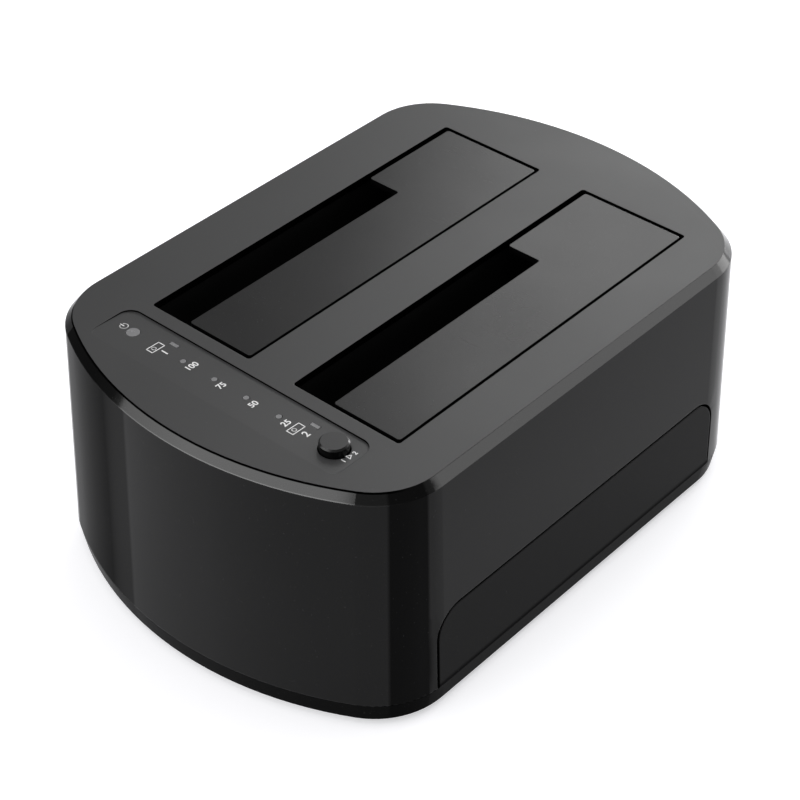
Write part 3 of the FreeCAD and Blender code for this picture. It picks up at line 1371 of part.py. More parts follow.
def makeTactSwitch():
    top = panelBoardTop
    case = block("TactCase", buttonPlace, lampRow, d.tactHalf, d.tactHalf, top,
                 top + d.tactHeight)
    hole = cylinder("TactHole", buttonPlace, lampRow, top + 0.15, d.plungerRadius + 0.1,
                    d.tactHeight)
    keep(cut("TactSwitch", case, hole), "tact_switch")
    plunger = cylinder("Plunger", buttonPlace, lampRow, top + d.plungerTop
                       - d.plungerLength, d.plungerRadius, d.plungerLength)
    keep(plunger, "switch_plunger")


def makePanelCable():
    # A ribbon with a slack bow between two flat sockets
    x = d.cablePlace
    y = lampRow
    low = boardTopZ
    high = panelBoardTop - d.panelBoardThickness
    rise = d.cableSocketHeight
    sockets = [block("LowSocket", x, y, d.cableSocketHalf, d.cableSocketDepth, low, low + rise),
               block("HighSocket", x, y, d.cableSocketHalf, d.cableSocketDepth, high - rise,
                     high)]
    group("CableSockets", sockets, "cable_sockets")
    body = newBody("panel_cable")
    bow = newSketch(body, "RibbonOutline", "YZ_Plane", x)
    thick = d.ribbonThickness
    bend = d.ribbonBend
    start = low + rise
    end = high - rise
    addPath(bow, [(y + thick, start, -bend), (y + thick, end), (y, end, bend), (y, start)])
    pad(body, bow, "Ribbon", d.ribbonWidth, symmetric=True)


# Screws

def makeScrews():
    case = [screw("CaseScrew%d" % index, x, y, d.footHeight + d.screwSeat, d.screwHead,
                  d.screwHeadHeight, d.screwRadius,
                  d.casePostTop - d.screwSeat + d.screwBite, True)
            for index, (x, y) in enumerate(casePosts)]
    group("CaseScrews", case, "case_screws")
    well = [screw("WellScrew%d" % index, x, y, earTop - d.earThickness, d.smallHead,
                  d.smallHeadHeight, d.smallScrewRadius, d.earThickness + d.smallBite, True)
            for index, (x, y) in enumerate(wellScrews(0) + wellScrews(1))]
    group("WellScrews", well, "well_screws")
    board = [screw("BoardScrew%d" % index, x, y, boardTopZ, d.smallHead, d.smallHeadHeight,
                   d.smallScrewRadius, d.boardThickness + d.smallBite, False)
             for index, (x, y) in enumerate(standoffs)]
    group("BoardScrews", board, "board_screws")
    panel = [screw("PanelScrew%d" % index, x, y, panelBoardTop - d.panelBoardThickness,
                   d.smallHead, d.smallHeadHeight, d.smallScrewRadius,
                   d.panelBoardThickness + d.panelBoardDrop - 1.2, True)
             for index, (x, y) in enumerate(panelBosses)]
    group("PanelScrews", panel, "panel_screws")


makeTopShell()
makeBaseShell()
makeFeet()
for bay in (0, 1):
    makeWell(bay)
    makeFlap(bay)
    makePin(bay)
    makeSpring(bay)
    makeSocket(bay)
    makeContacts(bay)
makeMainBoard()
makeBoardParts()
makeUsb()
makeJack()
makePowerSwitch()
makePanelBoard()
makeLamps()
makeLightGuide()
makeButton()
makeTactSwitch()
makePanelCable()
makeScrews()
doc.recompute()

for thing in doc.Objects:
    if "Invalid" in thing.State or "Error" in thing.State:
        raise RuntimeError("%s did not build: %s" % (thing.Label, thing.State))
for piece in pieces:
    if piece.Shape.isNull() or not piece.Shape.isValid():
        raise RuntimeError("%s has no valid shape" % piece.Label)
for piece in pieces:
    piece.Shape.exportStep(os.path.join("parts", piece.Label + ".step"))
print("wrote %d pieces" % len(pieces))
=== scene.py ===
import math

import bmesh
import bpy
from mathutils import Matrix, Vector


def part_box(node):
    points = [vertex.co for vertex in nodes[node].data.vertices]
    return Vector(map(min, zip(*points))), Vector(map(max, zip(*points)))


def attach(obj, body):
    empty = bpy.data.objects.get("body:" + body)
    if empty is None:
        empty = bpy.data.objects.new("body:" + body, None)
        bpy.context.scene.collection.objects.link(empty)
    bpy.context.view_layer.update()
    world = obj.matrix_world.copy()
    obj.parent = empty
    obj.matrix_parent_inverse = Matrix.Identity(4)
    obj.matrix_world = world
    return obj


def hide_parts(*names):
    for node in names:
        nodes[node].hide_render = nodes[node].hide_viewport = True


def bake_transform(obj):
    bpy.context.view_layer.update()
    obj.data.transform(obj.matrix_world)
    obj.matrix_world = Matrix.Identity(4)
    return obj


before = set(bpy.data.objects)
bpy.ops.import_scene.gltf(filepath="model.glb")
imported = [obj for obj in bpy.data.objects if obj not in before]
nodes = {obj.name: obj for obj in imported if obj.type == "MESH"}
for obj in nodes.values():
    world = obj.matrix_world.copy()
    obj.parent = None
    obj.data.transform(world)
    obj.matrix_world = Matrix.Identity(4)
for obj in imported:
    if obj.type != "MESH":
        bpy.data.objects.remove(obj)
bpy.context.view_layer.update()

print("stage 1: frame loaded")

scene = bpy.context.scene
mm = 0.001


# Shader helpers

def newMaterial(name):
    material = bpy.data.materials.new(name)
    material.use_nodes = True
    tree = material.node_tree
    tree.nodes.clear()
    output = tree.nodes.new("ShaderNodeOutputMaterial")
    shader = tree.nodes.new("ShaderNodeBsdfPrincipled")
    tree.links.new(shader.outputs["BSDF"], output.inputs["Surface"])
    return material, tree, shader


def addNode(tree, kind, settings=None, **inputs):
    node = tree.nodes.new(kind)
    for key, value in (settings or {}).items():
        setattr(node, key, value)
    for key, value in inputs.items():
        place = int(key[1:]) if key[0] == "i" and key[1:].isdigit() else key
        socket = node.inputs[place]
        if isinstance(value, bpy.types.NodeSocket):
            tree.links.new(value, socket)
        else:
            socket.default_value = value
    return node


def objectPlace(tree, stretch=(1, 1, 1)):
    place = addNode(tree, "ShaderNodeTexCoord")
    mapping = addNode(tree, "ShaderNodeMapping", Vector=place.outputs["Object"])
    mapping.inputs["Scale"].default_value = stretch
    return mapping.outputs["Vector"]


def noise(tree, scale, detail=2.0, stretch=(1, 1, 1), roughness=0.5):
    node = addNode(tree, "ShaderNodeTexNoise", Vector=objectPlace(tree, stretch),
                   Scale=scale, Detail=detail, Roughness=roughness)
    return node.outputs["Fac"]


def ramp(tree, value, low, high, lowResult=0.0, highResult=1.0):
    node = addNode(tree, "ShaderNodeMapRange", Value=value)
    node.inputs["From Min"].default_value = low
    node.inputs["From Max"].default_value = high
    node.inputs["To Min"].default_value = lowResult
    node.inputs["To Max"].default_value = highResult
    return node.outputs["Result"]


def compute(tree, operation, first, second):
    return addNode(tree, "ShaderNodeMath", {"operation": operation}, i0=first, i1=second).outputs[0]


def mixColour(tree, factor, first, second):
    node = addNode(tree, "ShaderNodeMix", {"data_type": "RGBA"}, i0=factor, i6=first, i7=second)
    return node.outputs[2]


def grey(value, alpha=1.0):
    return (value, value, value * 1.02, alpha)


# Where the finish of a moulding changes, and where its colour or gloss is painted lighter
# or darker as light and shade. Slants are the upward part of the normal,
# turns are radians from straight ahead, heights are mm above the table.
zones = {
    "topSlant": (0.8, 0.95),         # from wall finish to top finish, and to the lighter top colour that is painted light
    "glossSlant": (0.3, 0.5),        # from wall gloss to top gloss
    "rightTurn": (0.86, 0.90, 1.34, 1.38),
    "rightShare": 0.88,
    "leftTurn": (-0.14, -0.165, -1.50, -1.42),
    "leftShare": (-0.165, -0.26, 0.84, 1.035),
    "frontFade": (-0.14, 0.12, 0.48, 0.0),
    "frontOnly": (-0.5, -0.7),       # backward part of the normal where that fade holds
    "bevelTurn": 0.05,               # how much further round the left zone starts on the bevel
    "side": (0.95, 0.99, 0.6),       # sideways part of the normal, and the gloss left there as painted shade
    "rear": (0.15, 0.35, 0.45),      # backward part of the normal, and the gloss left there as painted shade
    "bevelFront": (-0.3, -0.45),
    # heights in mm of the painted dark line and the painted highlight on the rim's front bevel, and
    # the highlight's gain
    "paintedDarkLine": (66.00, 66.06),
    "paintedHighlightLine": (64.32, 64.26),
    "paintedHighlightGain": 1.9,
    "paintedShadeEdge": 0.2,                  # mm over which the painted shade of an opening's wall sets in
}
dustSpeck = {"scale": 2600.0, "from": 0.80, "to": 0.86, "colour": grey(0.18)}


# Moulded plastic: grain, a few dust specks, hairline scratches and rounded edges, and, where asked,
# painted light and shade. lying is 1 on faces that look up and 0 on walls, so that the two can
# differ in finish, and so that faces that look up can take a lighter colour as painted light.
def makePlastic(name, colour, wall, top, grain, edge, dust=0.0, scratches=0.0, corner=0.0,
                lowBand=None, rimWalls=None, paintedLitTopColour=None):
    material, tree, shader = newMaterial(name)
    rounded = addNode(tree, "ShaderNodeBevel", {"samples": 6}, Radius=edge * mm)
    geometry = addNode(tree, "ShaderNodeNewGeometry")
    facing = addNode(tree, "ShaderNodeSeparateXYZ", i0=geometry.outputs["Normal"]).outputs
    lying = ramp(tree, facing["Z"], *zones["topSlant"])
    cloud = noise(tree, 38.0, 3.0)
    fine = noise(tree, grain["scale"], 1.0)
    bump = addNode(tree, "ShaderNodeBump", Strength=grain["strength"], Distance=grain["depth"] * mm,
                   Height=fine, Normal=rounded.outputs["Normal"])
    tree.links.new(bump.outputs["Normal"], shader.inputs["Normal"])
    deep = tuple(channel * 0.8 for channel in colour[:3]) + (1.0,)
    shade = mixColour(tree, cloud, deep, colour)
    # Painted light: faces that look up take a lighter colour than the walls of the same plastic
    if paintedLitTopColour:
        shade = mixColour(tree, lying, shade, paintedLitTopColour)
    if dust:
        speck = noise(tree, dustSpeck["scale"], 0.0)
        spots = ramp(tree, speck, dustSpeck["from"], dustSpeck["to"], 0.0, dust)
        shade = mixColour(tree, spots, shade, dustSpeck["colour"])
    tree.links.new(shade, shader.inputs["Base Color"])
    rough = compute(tree, "ADD", ramp(tree, lying, 0, 1, wall["rough"], top["rough"]),
                    ramp(tree, cloud, 0.3, 0.7, -0.02, 0.03))
    if scratches:
        hair = noise(tree, 90.0, 4.0, (1.0, 26.0, 1.0), 0.7)
        rough = compute(tree, "ADD", rough, ramp(tree, hair, 0.60, 0.72, 0.0, scratches))
    tree.links.new(rough, shader.inputs["Roughness"])
    gloss = ramp(tree, facing["Z"], *zones["glossSlant"], wall["gloss"], top["gloss"])
    height = addNode(tree, "ShaderNodeSeparateXYZ", i0=geometry.outputs["Position"]).outputs["Z"]
    if corner:
        # Painted shade: the reflection on the rounded front corners is turned down, darker than on
        # the walls beside them
        turn = compute(tree, "ARCTAN2", facing["X"], compute(tree, "MULTIPLY", facing["Y"], -1.0))
        start, full, drop, end = zones["rightTurn"]
        onRight = compute(tree, "MULTIPLY", ramp(tree, turn, start, full),
                          ramp(tree, turn, drop, end, zones["rightShare"], 0.0))
        shift = ramp(tree, facing["Z"], *zones["glossSlant"], 0.0, zones["bevelTurn"])
        turn = compute(tree, "ADD", turn, shift)
        start, full, drop, end = zones["leftTurn"]
        onLeft = compute(tree, "MULTIPLY", ramp(tree, turn, start, full),
                         ramp(tree, turn, drop, end))
        onLeft = compute(tree, "MULTIPLY", onLeft, ramp(tree, turn, *zones["leftShare"]))
        # Painted shade: the front wall's reflection is turned down towards its left end
        fade = compute(tree, "MULTIPLY", ramp(tree, turn, *zones["frontFade"]),
                       ramp(tree, facing["Y"], *zones["frontOnly"]))
        paintedShadeZone = compute(tree, "MAXIMUM", compute(tree, "MAXIMUM", onRight, onLeft), fade)
        paintedShadeZone = compute(tree, "MULTIPLY", paintedShadeZone, ramp(tree, lying, 0, 0.2, 1.0, 0.0))
        kept = compute(tree, "SUBTRACT", 1.0, compute(tree, "MULTIPLY", paintedShadeZone, corner))
        gloss = compute(tree, "MULTIPLY", gloss, kept)
        # Painted shade: the reflection is turned down on the side walls and on faces that look back
        aside = compute(tree, "ABSOLUTE", facing["X"], 0.0)
        start, end, kept = zones["side"]
        gloss = compute(tree, "MULTIPLY", gloss, ramp(tree, aside, start, end, 1.0, kept))
        start, end, kept = zones["rear"]
        rear = ramp(tree, facing["Y"], start, end, 1.0, kept)
        rear = compute(tree, "MAXIMUM", rear, ramp(tree, facing["Z"], *zones["glossSlant"]))
        gloss = compute(tree, "MULTIPLY", gloss, rear)
    if lowBand:
        # Painted shade: the reflection on the band round the foot is turned down below the wings
        # above it
        gloss = compute(tree, "MULTIPLY", gloss,
                        ramp(tree, height, lowBand[0] * mm, lowBand[1] * mm, lowBand[2], 1.0))
    if rimWalls:
        # Painted shade: the walls of the openings in the top face are painted near black, with no
        # gloss
        low = (rimWalls - zones["paintedShadeEdge"]) * mm
        cut = compute(tree, "MULTIPLY", ramp(tree, height, low, rimWalls * mm),
                      ramp(tree, facing["Z"], 0.2, 0.4, 1.0, 0.0))
        # Painted on the front of the rim: a dark line above its bevel as painted shade, and a
        # bright one below as a painted highlight
        bevel = compute(tree, "MULTIPLY", ramp(tree, facing["Z"], 0.4, 0.5),
                        ramp(tree, facing["Z"], 0.8, 0.9, 1.0, 0.0))
        bevel = compute(tree, "MULTIPLY", bevel, ramp(tree, facing["Y"], *zones["bevelFront"]))
        start, full = [level * mm for level in zones["paintedDarkLine"]]
        line = compute(tree, "MULTIPLY", bevel, ramp(tree, height, start, full))
        cut = compute(tree, "MAXIMUM", cut, line)
        start, full = [level * mm for level in zones["paintedHighlightLine"]]
        paintedHighlight = compute(tree, "MULTIPLY", bevel, ramp(tree, height, start, full))
        gloss = compute(tree, "MULTIPLY", gloss, ramp(tree, paintedHighlight, 0, 1, 1.0, zones["paintedHighlightGain"]))
        gloss = compute(tree, "MULTIPLY", gloss, ramp(tree, cut, 0, 1, 1.0, 0.0))
        # painted shade: near-black colour on the opening walls and on the dark line of the rim
        shade = mixColour(tree, cut, shade, grey(0.0005))
        tree.links.new(shade, shader.inputs["Base Color"])
    level = shader.inputs["Specular IOR Level"]
    level.default_value = wall["gloss"]
    if corner or lowBand or rimWalls or wall["gloss"] != top["gloss"]:
        tree.links.new(gloss, level)
    return material


# Metal: brushed along one direction, with faint stains
def makeMetal(name, colour, rough, stretch=(1, 1, 1), edge=0.05):
    material, tree, shader = newMaterial(name)
    rounded = addNode(tree, "ShaderNodeBevel", {"samples": 4}, Radius=edge * mm)
    lines = noise(tree, 900.0, 3.0, stretch)
    stain = noise(tree, 120.0, 4.0)
    bump = addNode(tree, "ShaderNodeBump", Strength=0.25, Distance=0.01 * mm, Height=lines,
                   Normal=rounded.outputs["Normal"])
    tree.links.new(bump.outputs["Normal"], shader.inputs["Normal"])
    dull = tuple(channel * 0.72 for channel in colour[:3]) + (1.0,)
    tree.links.new(mixColour(tree, ramp(tree, stain, 0.35, 0.7), colour, dull),
                   shader.inputs["Base Color"])
    tree.links.new(compute(tree, "ADD", ramp(tree, lines, 0.3, 0.7, rough - 0.05, rough + 0.08),
                           ramp(tree, stain, 0.4, 0.7, 0.0, 0.08)), shader.inputs["Roughness"])
    shader.inputs["Metallic"].default_value = 1.0
    return material


# Circuit board: solder mask over tracks, with bare laminate at the cut edges
def makeBoard(name, mask, track, laminate=(0.35, 0.29, 0.16, 1.0)):
    material, tree, shader = newMaterial(name)
    place = objectPlace(tree)
    cells = addNode(tree, "ShaderNodeTexBrick", {"offset": 0.5, "squash_frequency": 3},
                    Vector=place)
    cells.inputs["Scale"].default_value = 260.0
    cells.inputs["Mortar Size"].default_value = 0.03
    pattern = addNode(tree, "ShaderNodeTexVoronoi", {"feature": "DISTANCE_TO_EDGE"},
                      Vector=place, Scale=190.0)
    lines = ramp(tree, pattern.outputs["Distance"], 0.02, 0.05, 1.0, 0.0)
    bothLines = compute(tree, "MAXIMUM", lines, ramp(tree, cells.outputs["Fac"], 0.0, 1.0))
    geometry = addNode(tree, "ShaderNodeNewGeometry")
    upward = addNode(tree, "ShaderNodeSeparateXYZ", i0=geometry.outputs["Normal"]).outputs["Z"]
    flat = ramp(tree, compute(tree, "ABSOLUTE", upward, 0.0), 0.4, 0.6)
    covered = mixColour(tree, bothLines, mask, track)
    tree.links.new(mixColour(tree, flat, laminate, covered), shader.inputs["Base Color"])
    bump = addNode(tree, "ShaderNodeBump", Strength=0.4, Distance=0.03 * mm, Height=bothLines)
    tree.links.new(bump.outputs["Normal"], shader.inputs["Normal"])
    tree.links.new(ramp(tree, noise(tree, 300.0), 0.3, 0.7, 0.3, 0.45), shader.inputs["Roughness"])
    return material


def makeLens(name, colour):
    material, tree, shader = newMaterial(name)
    haze = noise(tree, 700.0, 2.0)
    pale = grey(colour[0] * 1.2)
    tree.links.new(mixColour(tree, haze, colour, pale), shader.inputs["Base Color"])
    tree.links.new(ramp(tree, haze, 0.3, 0.7, 0.18, 0.3), shader.inputs["Roughness"])
    bump = addNode(tree, "ShaderNodeBump", Strength=0.15, Distance=0.01 * mm, Height=haze)
    tree.links.new(bump.outputs["Normal"], shader.inputs["Normal"])
    return material


def makePaint(name, colour):
    material, tree, shader = newMaterial(name)
    cover = noise(tree, 3500.0, 2.0)
    thin = tuple(channel * 0.7 for channel in colour[:3]) + (1.0,)
    tree.links.new(mixColour(tree, ramp(tree, cover, 0.25, 0.5), thin, colour),
                   shader.inputs["Base Color"])
    tree.links.new(ramp(tree, cover, 0.3, 0.7, 0.45, 0.6), shader.inputs["Roughness"])
    return material


def dress(material, *names):
    for name in names:
        slots = nodes[name].data.materials
        slots.clear()
        slots.append(material)


# Housing

housingFinish = {
    "colour": grey(0.0045),
    # painted light: the faces that look up are given a lighter colour than the walls
    "paintedLitTopColour": grey(0.041),
    "wall": {"rough": 0.10, "gloss": 0.113},
    "top": {"rough": 0.38, "gloss": 0.5},
    "grain": {"scale": 5200.0, "strength": 0.12, "depth": 0.01},
    "edge": 0.2,
    # painted shade: how far the reflection is turned down on the front corners and the left end of
    # the front wall
    "corner": 0.93,
    # height of the rim; the opening walls below it get painted shade
    "rimWalls": 64.5,
}
bandFinish = {
    "colour": grey(0.0035),
    "wall": {"rough": 0.22, "gloss": 0.05},
    "top": {"rough": 0.35, "gloss": 0.3},
    "grain": {"scale": 4200.0, "strength": 0.2, "depth": 0.015},
    "edge": 0.35,
    # painted shade: how far the reflection is turned down on the front corners and the left end of
    # the front wall
    "corner": 0.6,
    # painted shade: the reflection is turned down on the band round the foot
    "lowBand": (7.6, 8.6, 0.2),
}
flapFinish = {
    "colour": grey(0.002),
    # painted light: the faces that look up are given a lighter colour than the walls
    "paintedLitTopColour": grey(0.013),
    "wall": {"rough": 0.35, "gloss": 0.03},
    "top": {"rough": 0.25, "gloss": 0.42},
    "grain": {"scale": 5200.0, "strength": 0.12, "depth": 0.01},
    "edge": 0.15,
}
wellFinish = {
    "colour": grey(0.004),
    "wall": {"rough": 0.6, "gloss": 0.15},
    "top": {"rough": 0.6, "gloss": 0.15},
    "grain": {"scale": 2500.0, "strength": 0.4, "depth": 0.03},
    "edge": 0.2,
}
buttonFinish = {
    "colour": grey(0.004),
    # painted light: the faces that look up are given a lighter colour than the walls
    "paintedLitTopColour": grey(0.034),
    "wall": {"rough": 0.22, "gloss": 0.1},
    "top": {"rough": 0.34, "gloss": 0.5},
    "grain": {"scale": 6000.0, "strength": 0.08, "depth": 0.008},
    "edge": 0.1,
}


def finishHousing():
    dress(makePlastic("blackGloss", dust=0.12, **housingFinish), "top_shell")
    dress(makePlastic("blackSatin", dust=0.15, **bandFinish), "base_shell")
    dress(makePlastic("flapSatin", dust=0.12, scratches=0.02, **flapFinish),
          "bay_flap_1", "bay_flap_2")
    dress(makePlastic("wellMatt", dust=0.2, **wellFinish), "bay_well_1", "bay_well_2")
    dress(makePlastic("buttonGloss", **buttonFinish), "clone_button", "switch_plunger")
    dress(makePlastic("footRubber", grey(0.012), {"rough": 0.7, "gloss": 0.3},
                      {"rough": 0.7, "gloss": 0.3},
                      {"scale": 1800.0, "strength": 0.5, "depth": 0.04}, 0.2, dust=0.4),
          "rubber_feet")


# Inside and rear parts

def finishInside():
    steel = makeMetal("groundSteel", grey(0.55), 0.28, (1, 0.08, 1))
    wire = makeMetal("springWire", grey(0.45), 0.3)
    tin = makeMetal("tinPlate", grey(0.62), 0.32, (0.1, 1, 1), 0.15)
    gold = makeMetal("contactGold", (0.80, 0.55, 0.20, 1.0), 0.25)
    zinc = makeMetal("zincScrew", grey(0.38), 0.35)
    black = makePlastic("socketBlack", grey(0.012), {"rough": 0.4, "gloss": 0.4},
                        {"rough": 0.4, "gloss": 0.4},
                        {"scale": 3000.0, "strength": 0.3, "depth": 0.02}, 0.1)
    ivory = makePlastic("tongueIvory", (0.62, 0.60, 0.52, 1.0), {"rough": 0.4, "gloss": 0.5},
                        {"rough": 0.4, "gloss": 0.5},
                        {"scale": 3000.0, "strength": 0.2, "depth": 0.02}, 0.1)
    epoxy = makePlastic("chipEpoxy", grey(0.02), {"rough": 0.5, "gloss": 0.4},
                        {"rough": 0.55, "gloss": 0.4},
                        {"scale": 4000.0, "strength": 0.5, "depth": 0.02}, 0.08)
    board = makeBoard("boardGreen", (0.006, 0.060, 0.022, 1.0), (0.012, 0.110, 0.040, 1.0))
    dress(steel, "flap_pin_1", "flap_pin_2")
    dress(wire, "flap_spring_1", "flap_spring_2")
    dress(tin, "usb_socket", "crystal", "capacitors", "switch_wires", "tact_switch")
    dress(gold, "sata_contacts_1", "sata_contacts_2", "dc_pin", "switch_terminals")
    dress(zinc, "case_screws", "well_screws", "board_screws", "panel_screws")
    dress(black, "sata_socket_1", "sata_socket_2", "dc_jack", "power_switch", "switch_rocker")
    dress(ivory, "usb_tongue", "cable_sockets", "panel_cable")
    dress(epoxy, "bridge_chip", "copy_chip", "power_coils")
    dress(board, "main_board", "panel_board")
    dress(makeLens("smokedLens", grey(0.19)), "light_guide")
    dress(makeLens("lampChip", (0.75, 0.70, 0.5, 1.0)), "status_leds")


finishHousing()
finishInside()
print("stage 2: finishes on the CAD pieces")


# Return springs: each CAD spring is copied into a piece of its own, and the CAD piece is hidden.


def windSpring(number):
    node = "flap_spring_" + number
    spring = bpy.data.objects.new("windingSpring" + number, nodes[node].data.copy())
    scene.collection.objects.link(spring)
    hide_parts(node)
    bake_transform(spring)


windSpring("1")
windSpring("2")


# Printed marks on the panel. Plain numbers and signs, read from the right side of the dock.

marks = {
    "stroke": 0.24,       # width of the lines of a sign, mm
    "power": {"shift": (-3.3, 0.3), "radius": 0.95, "gap": 35, "bar": (0.1, 1.1), "stroke": 0.28},
    "disk": {"half": (1.9, 0.95), "platter": 0.5, "aside": 0.5},
    "copy": {"shift": (4.1, 0.3), "half": (0.55, 0.65), "height": 1.1,
             "from": (4.7, -2.1), "to": (4.7, 1.5)},
    "rocker": {"share": 0.27, "radius": 0.9, "bar": 0.8, "stroke": 0.3},
    "driveHeight": 1.84,  # cap height of the drive numbers, mm
    "height": 1.6,        # cap height of the numbers, mm
    "bold": 0.055,        # thickening of the strokes, mm
    "lift": 0.03,         # print above the surface, mm
    "progress": ["100", "75", "50", "25"],
    "progressShift": (3.45, -1.75),  # from a lamp to the start of its number, mm
    "driveShift": (1.4, -4.1),       # from a drive lamp to the start of its number, mm
    "diskShift": (-2.3, -3.6),       # from a drive lamp to the middle of its disk sign, mm
}
panelTilt = math.radians(2.0)
lampProud = 0.05  # how far the lamp posts stand out of the panel, mm


def topAt(y):
    # The panel sinks towards the slots; the lamp posts give its height at their row
    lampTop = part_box("light_guide")[1].z - lampProud * mm
    return lampTop - (y - panelPlaces["lampRow"]) * mm * math.tan(panelTilt)


def findLamps():
    # Lamp chips under the panel give the places of the lamps
    mesh = nodes["status_leds"].data
    islands = bmesh.new()
    islands.from_mesh(mesh)
    bmesh.ops.remove_doubles(islands, verts=islands.verts, dist=1e-6)
    seen = set()
    centres = []
    for start in islands.verts:
        if start.index in seen:
            continue
        stack = [start]
        group = []
        while stack:
            vert = stack.pop()
            if vert.index in seen:
                continue
            seen.add(vert.index)
            group.append(vert.co.copy())
            stack.extend(edge.other_vert(vert) for edge in vert.link_edges)
        low = Vector([min(p[i] for p in group) for i in range(3)])
        high = Vector([max(p[i] for p in group) for i in range(3)])
        centres.append((low + high) / 2 / mm)
    islands.free()
    return sorted(centres, key=lambda centre: centre.x)


lampCentres = findLamps()
panelPlaces = {
    "power": lampCentres[0],
    "drives": [lampCentres[1], lampCentres[-1]],
    "progress": lampCentres[2:-1],
    "lampRow": lampCentres[0].y,
}
ink = makePaint("whiteInk", (0.80, 0.80, 0.80, 1.0))


def placePrint(piece, body="housing"):
    piece.data.materials.clear()
    piece.data.materials.append(ink)
    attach(piece, body)


def onPanel(x, y):
    # Text lies on the sloping panel and reads towards the slots
    place = Matrix.Translation((x * mm, y * mm, topAt(y) + marks["lift"] * mm))
    return place @ Matrix.Rotation(-panelTilt, 4, "X") @ Matrix.Rotation(math.pi / 2, 4, "Z")


def onFace(name, x, z):
    # A spot on the rear face of a piece, upright as seen from behind
    target = nodes[name]
    world = target.matrix_world
    start = world.inverted() @ Vector((x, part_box(name)[1].y + 0.01, z))
    hit, spot, normal, face = target.ray_cast(start, world.inverted().to_3x3() @ Vector((0, -1, 0)))
    if not hit:
        raise RuntimeError("no face of %s behind the mark" % name)
    normal = (world.to_3x3() @ normal).normalized()
    across = Vector((-1, 0, 0))
    across = (across - normal * across.dot(normal)).normalized()
    turn = Matrix((across, normal.cross(across), normal)).transposed().to_4x4()
    return Matrix.Translation(world @ spot + normal * marks["lift"] * mm) @ turn


def printNumber(name, text, x, y, height):
    curve = bpy.data.curves.new(name, "FONT")
    curve.body = text
    curve.size = height * mm / 0.69
    curve.offset = marks["bold"] * mm
    curve.extrude = 0.01 * mm
    curve.resolution_u = 6
    holder = bpy.data.objects.new(name, curve)
    scene.collection.objects.link(holder)
    bpy.context.view_layer.update()
    mesh = bpy.data.meshes.new_from_object(holder)
    bpy.data.objects.remove(holder)
    mesh.transform(onPanel(x, y))
    piece = bpy.data.objects.new(name, mesh)
    scene.collection.objects.link(piece)
    placePrint(piece)


def printSign(name, runs, turn, width, body="housing"):
    # A sign drawn with strokes: each run is a list of points in mm, closed or open
    shape = bmesh.new()
    for points, closed in runs:
        count = len(points)
        last = count if closed else count - 1
        for index in range(last):
            start = Vector(points[index] + (0,))
            end = Vector(points[(index + 1) % count] + (0,))
            along = (end - start).normalized() * width * 0.5
            side = Vector((-along.y, along.x, 0))
            corners = [start - along + side, start - along - side,
                       end + along - side, end + along + side]
            shape.faces.new([shape.verts.new(turn @ (corner * mm)) for corner in corners])
    mesh = bpy.data.meshes.new(name)
    shape.to_mesh(mesh)
    shape.free()
    piece = bpy.data.objects.new(name, mesh)
    scene.collection.objects.link(piece)
    placePrint(piece, body)


def arcPoints(radius, start, end, steps):
    return [(radius * math.cos(start + (end - start) * step / steps),
             radius * math.sin(start + (end - start) * step / steps)) for step in range(steps + 1)]


def printPanel():
    for text, lamp in zip(marks["progress"], panelPlaces["progress"]):
        shiftX, shiftY = marks["progressShift"]
        printNumber("number" + text, text, lamp.x + shiftX, lamp.y + shiftY, marks["height"])
    for index, lamp in enumerate(panelPlaces["drives"]):
        shiftX, shiftY = marks["driveShift"]
        printNumber("drive%d" % (index + 1), str(index + 1), lamp.x + shiftX, lamp.y + shiftY,
                    marks["driveHeight"])
        printDisk("disk%d" % (index + 1), lamp)
    printPower(panelPlaces["power"])
    printCopy((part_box("clone_button")[0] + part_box("clone_button")[1]) / 2 / mm)


def printDisk(name, lamp):
    disk = marks["disk"]
    halfX, halfY = disk["half"]
    edge = [(-halfX, -halfY), (halfX, -halfY), (halfX, halfY), (-halfX, halfY)]
    platter = [(x - disk["aside"], y) for x, y in arcPoints(disk["platter"], 0, 2 * math.pi, 16)]
    shiftX, shiftY = marks["diskShift"]
    printSign(name, [(edge, True), (platter, False)], onPanel(lamp.x + shiftX, lamp.y + shiftY),
              marks["stroke"])


def printPower(lamp):
    power = marks["power"]
    gap = math.radians(power["gap"])
    ring = arcPoints(power["radius"], math.pi / 2 + gap, math.pi / 2 + 2 * math.pi - gap, 28)
    bar = [(0, level) for level in power["bar"]]
    printSign("powerSign", [(ring, False), (bar, False)],
              onPanel(lamp.x + power["shift"][0], lamp.y + power["shift"][1]), power["stroke"])


def printCopy(button):
    copy = marks["copy"]
    halfX, halfY = copy["half"]
    arrow = [(-halfX, -halfY), (halfX, 0.0), (-halfX, halfY)]
    printSign("copySign", [(arrow, True)],
              onPanel(button.x + copy["shift"][0], button.y + copy["shift"][1]), marks["stroke"])
    for name, text in (("from", "1"), ("to", "2")):
        printNumber("copy" + name.title(), text, button.x + copy[name][0],
                    button.y + copy[name][1], copy["height"])


def printRocker():
    rocker = marks["rocker"]
    low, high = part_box("switch_rocker")
    middle = (low.z + high.z) / 2
    centre = (low.x + high.x) / 2
    reach = (high.x - low.x) * rocker["share"]
    ring = arcPoints(rocker["radius"], 0.0, 2 * math.pi, 24)
    bar = [(0, -rocker["bar"]), (0, rocker["bar"])]
    for name, run, x in (("offSign", ring, centre + reach), ("onSign", bar, centre - reach)):
        printSign(name, [(run, False)], onFace("switch_rocker", x, middle), rocker["stroke"],
                  "rocker")


printPanel()
printRocker()
print("stage 3: printed marks")


# Floor, lamps and camera

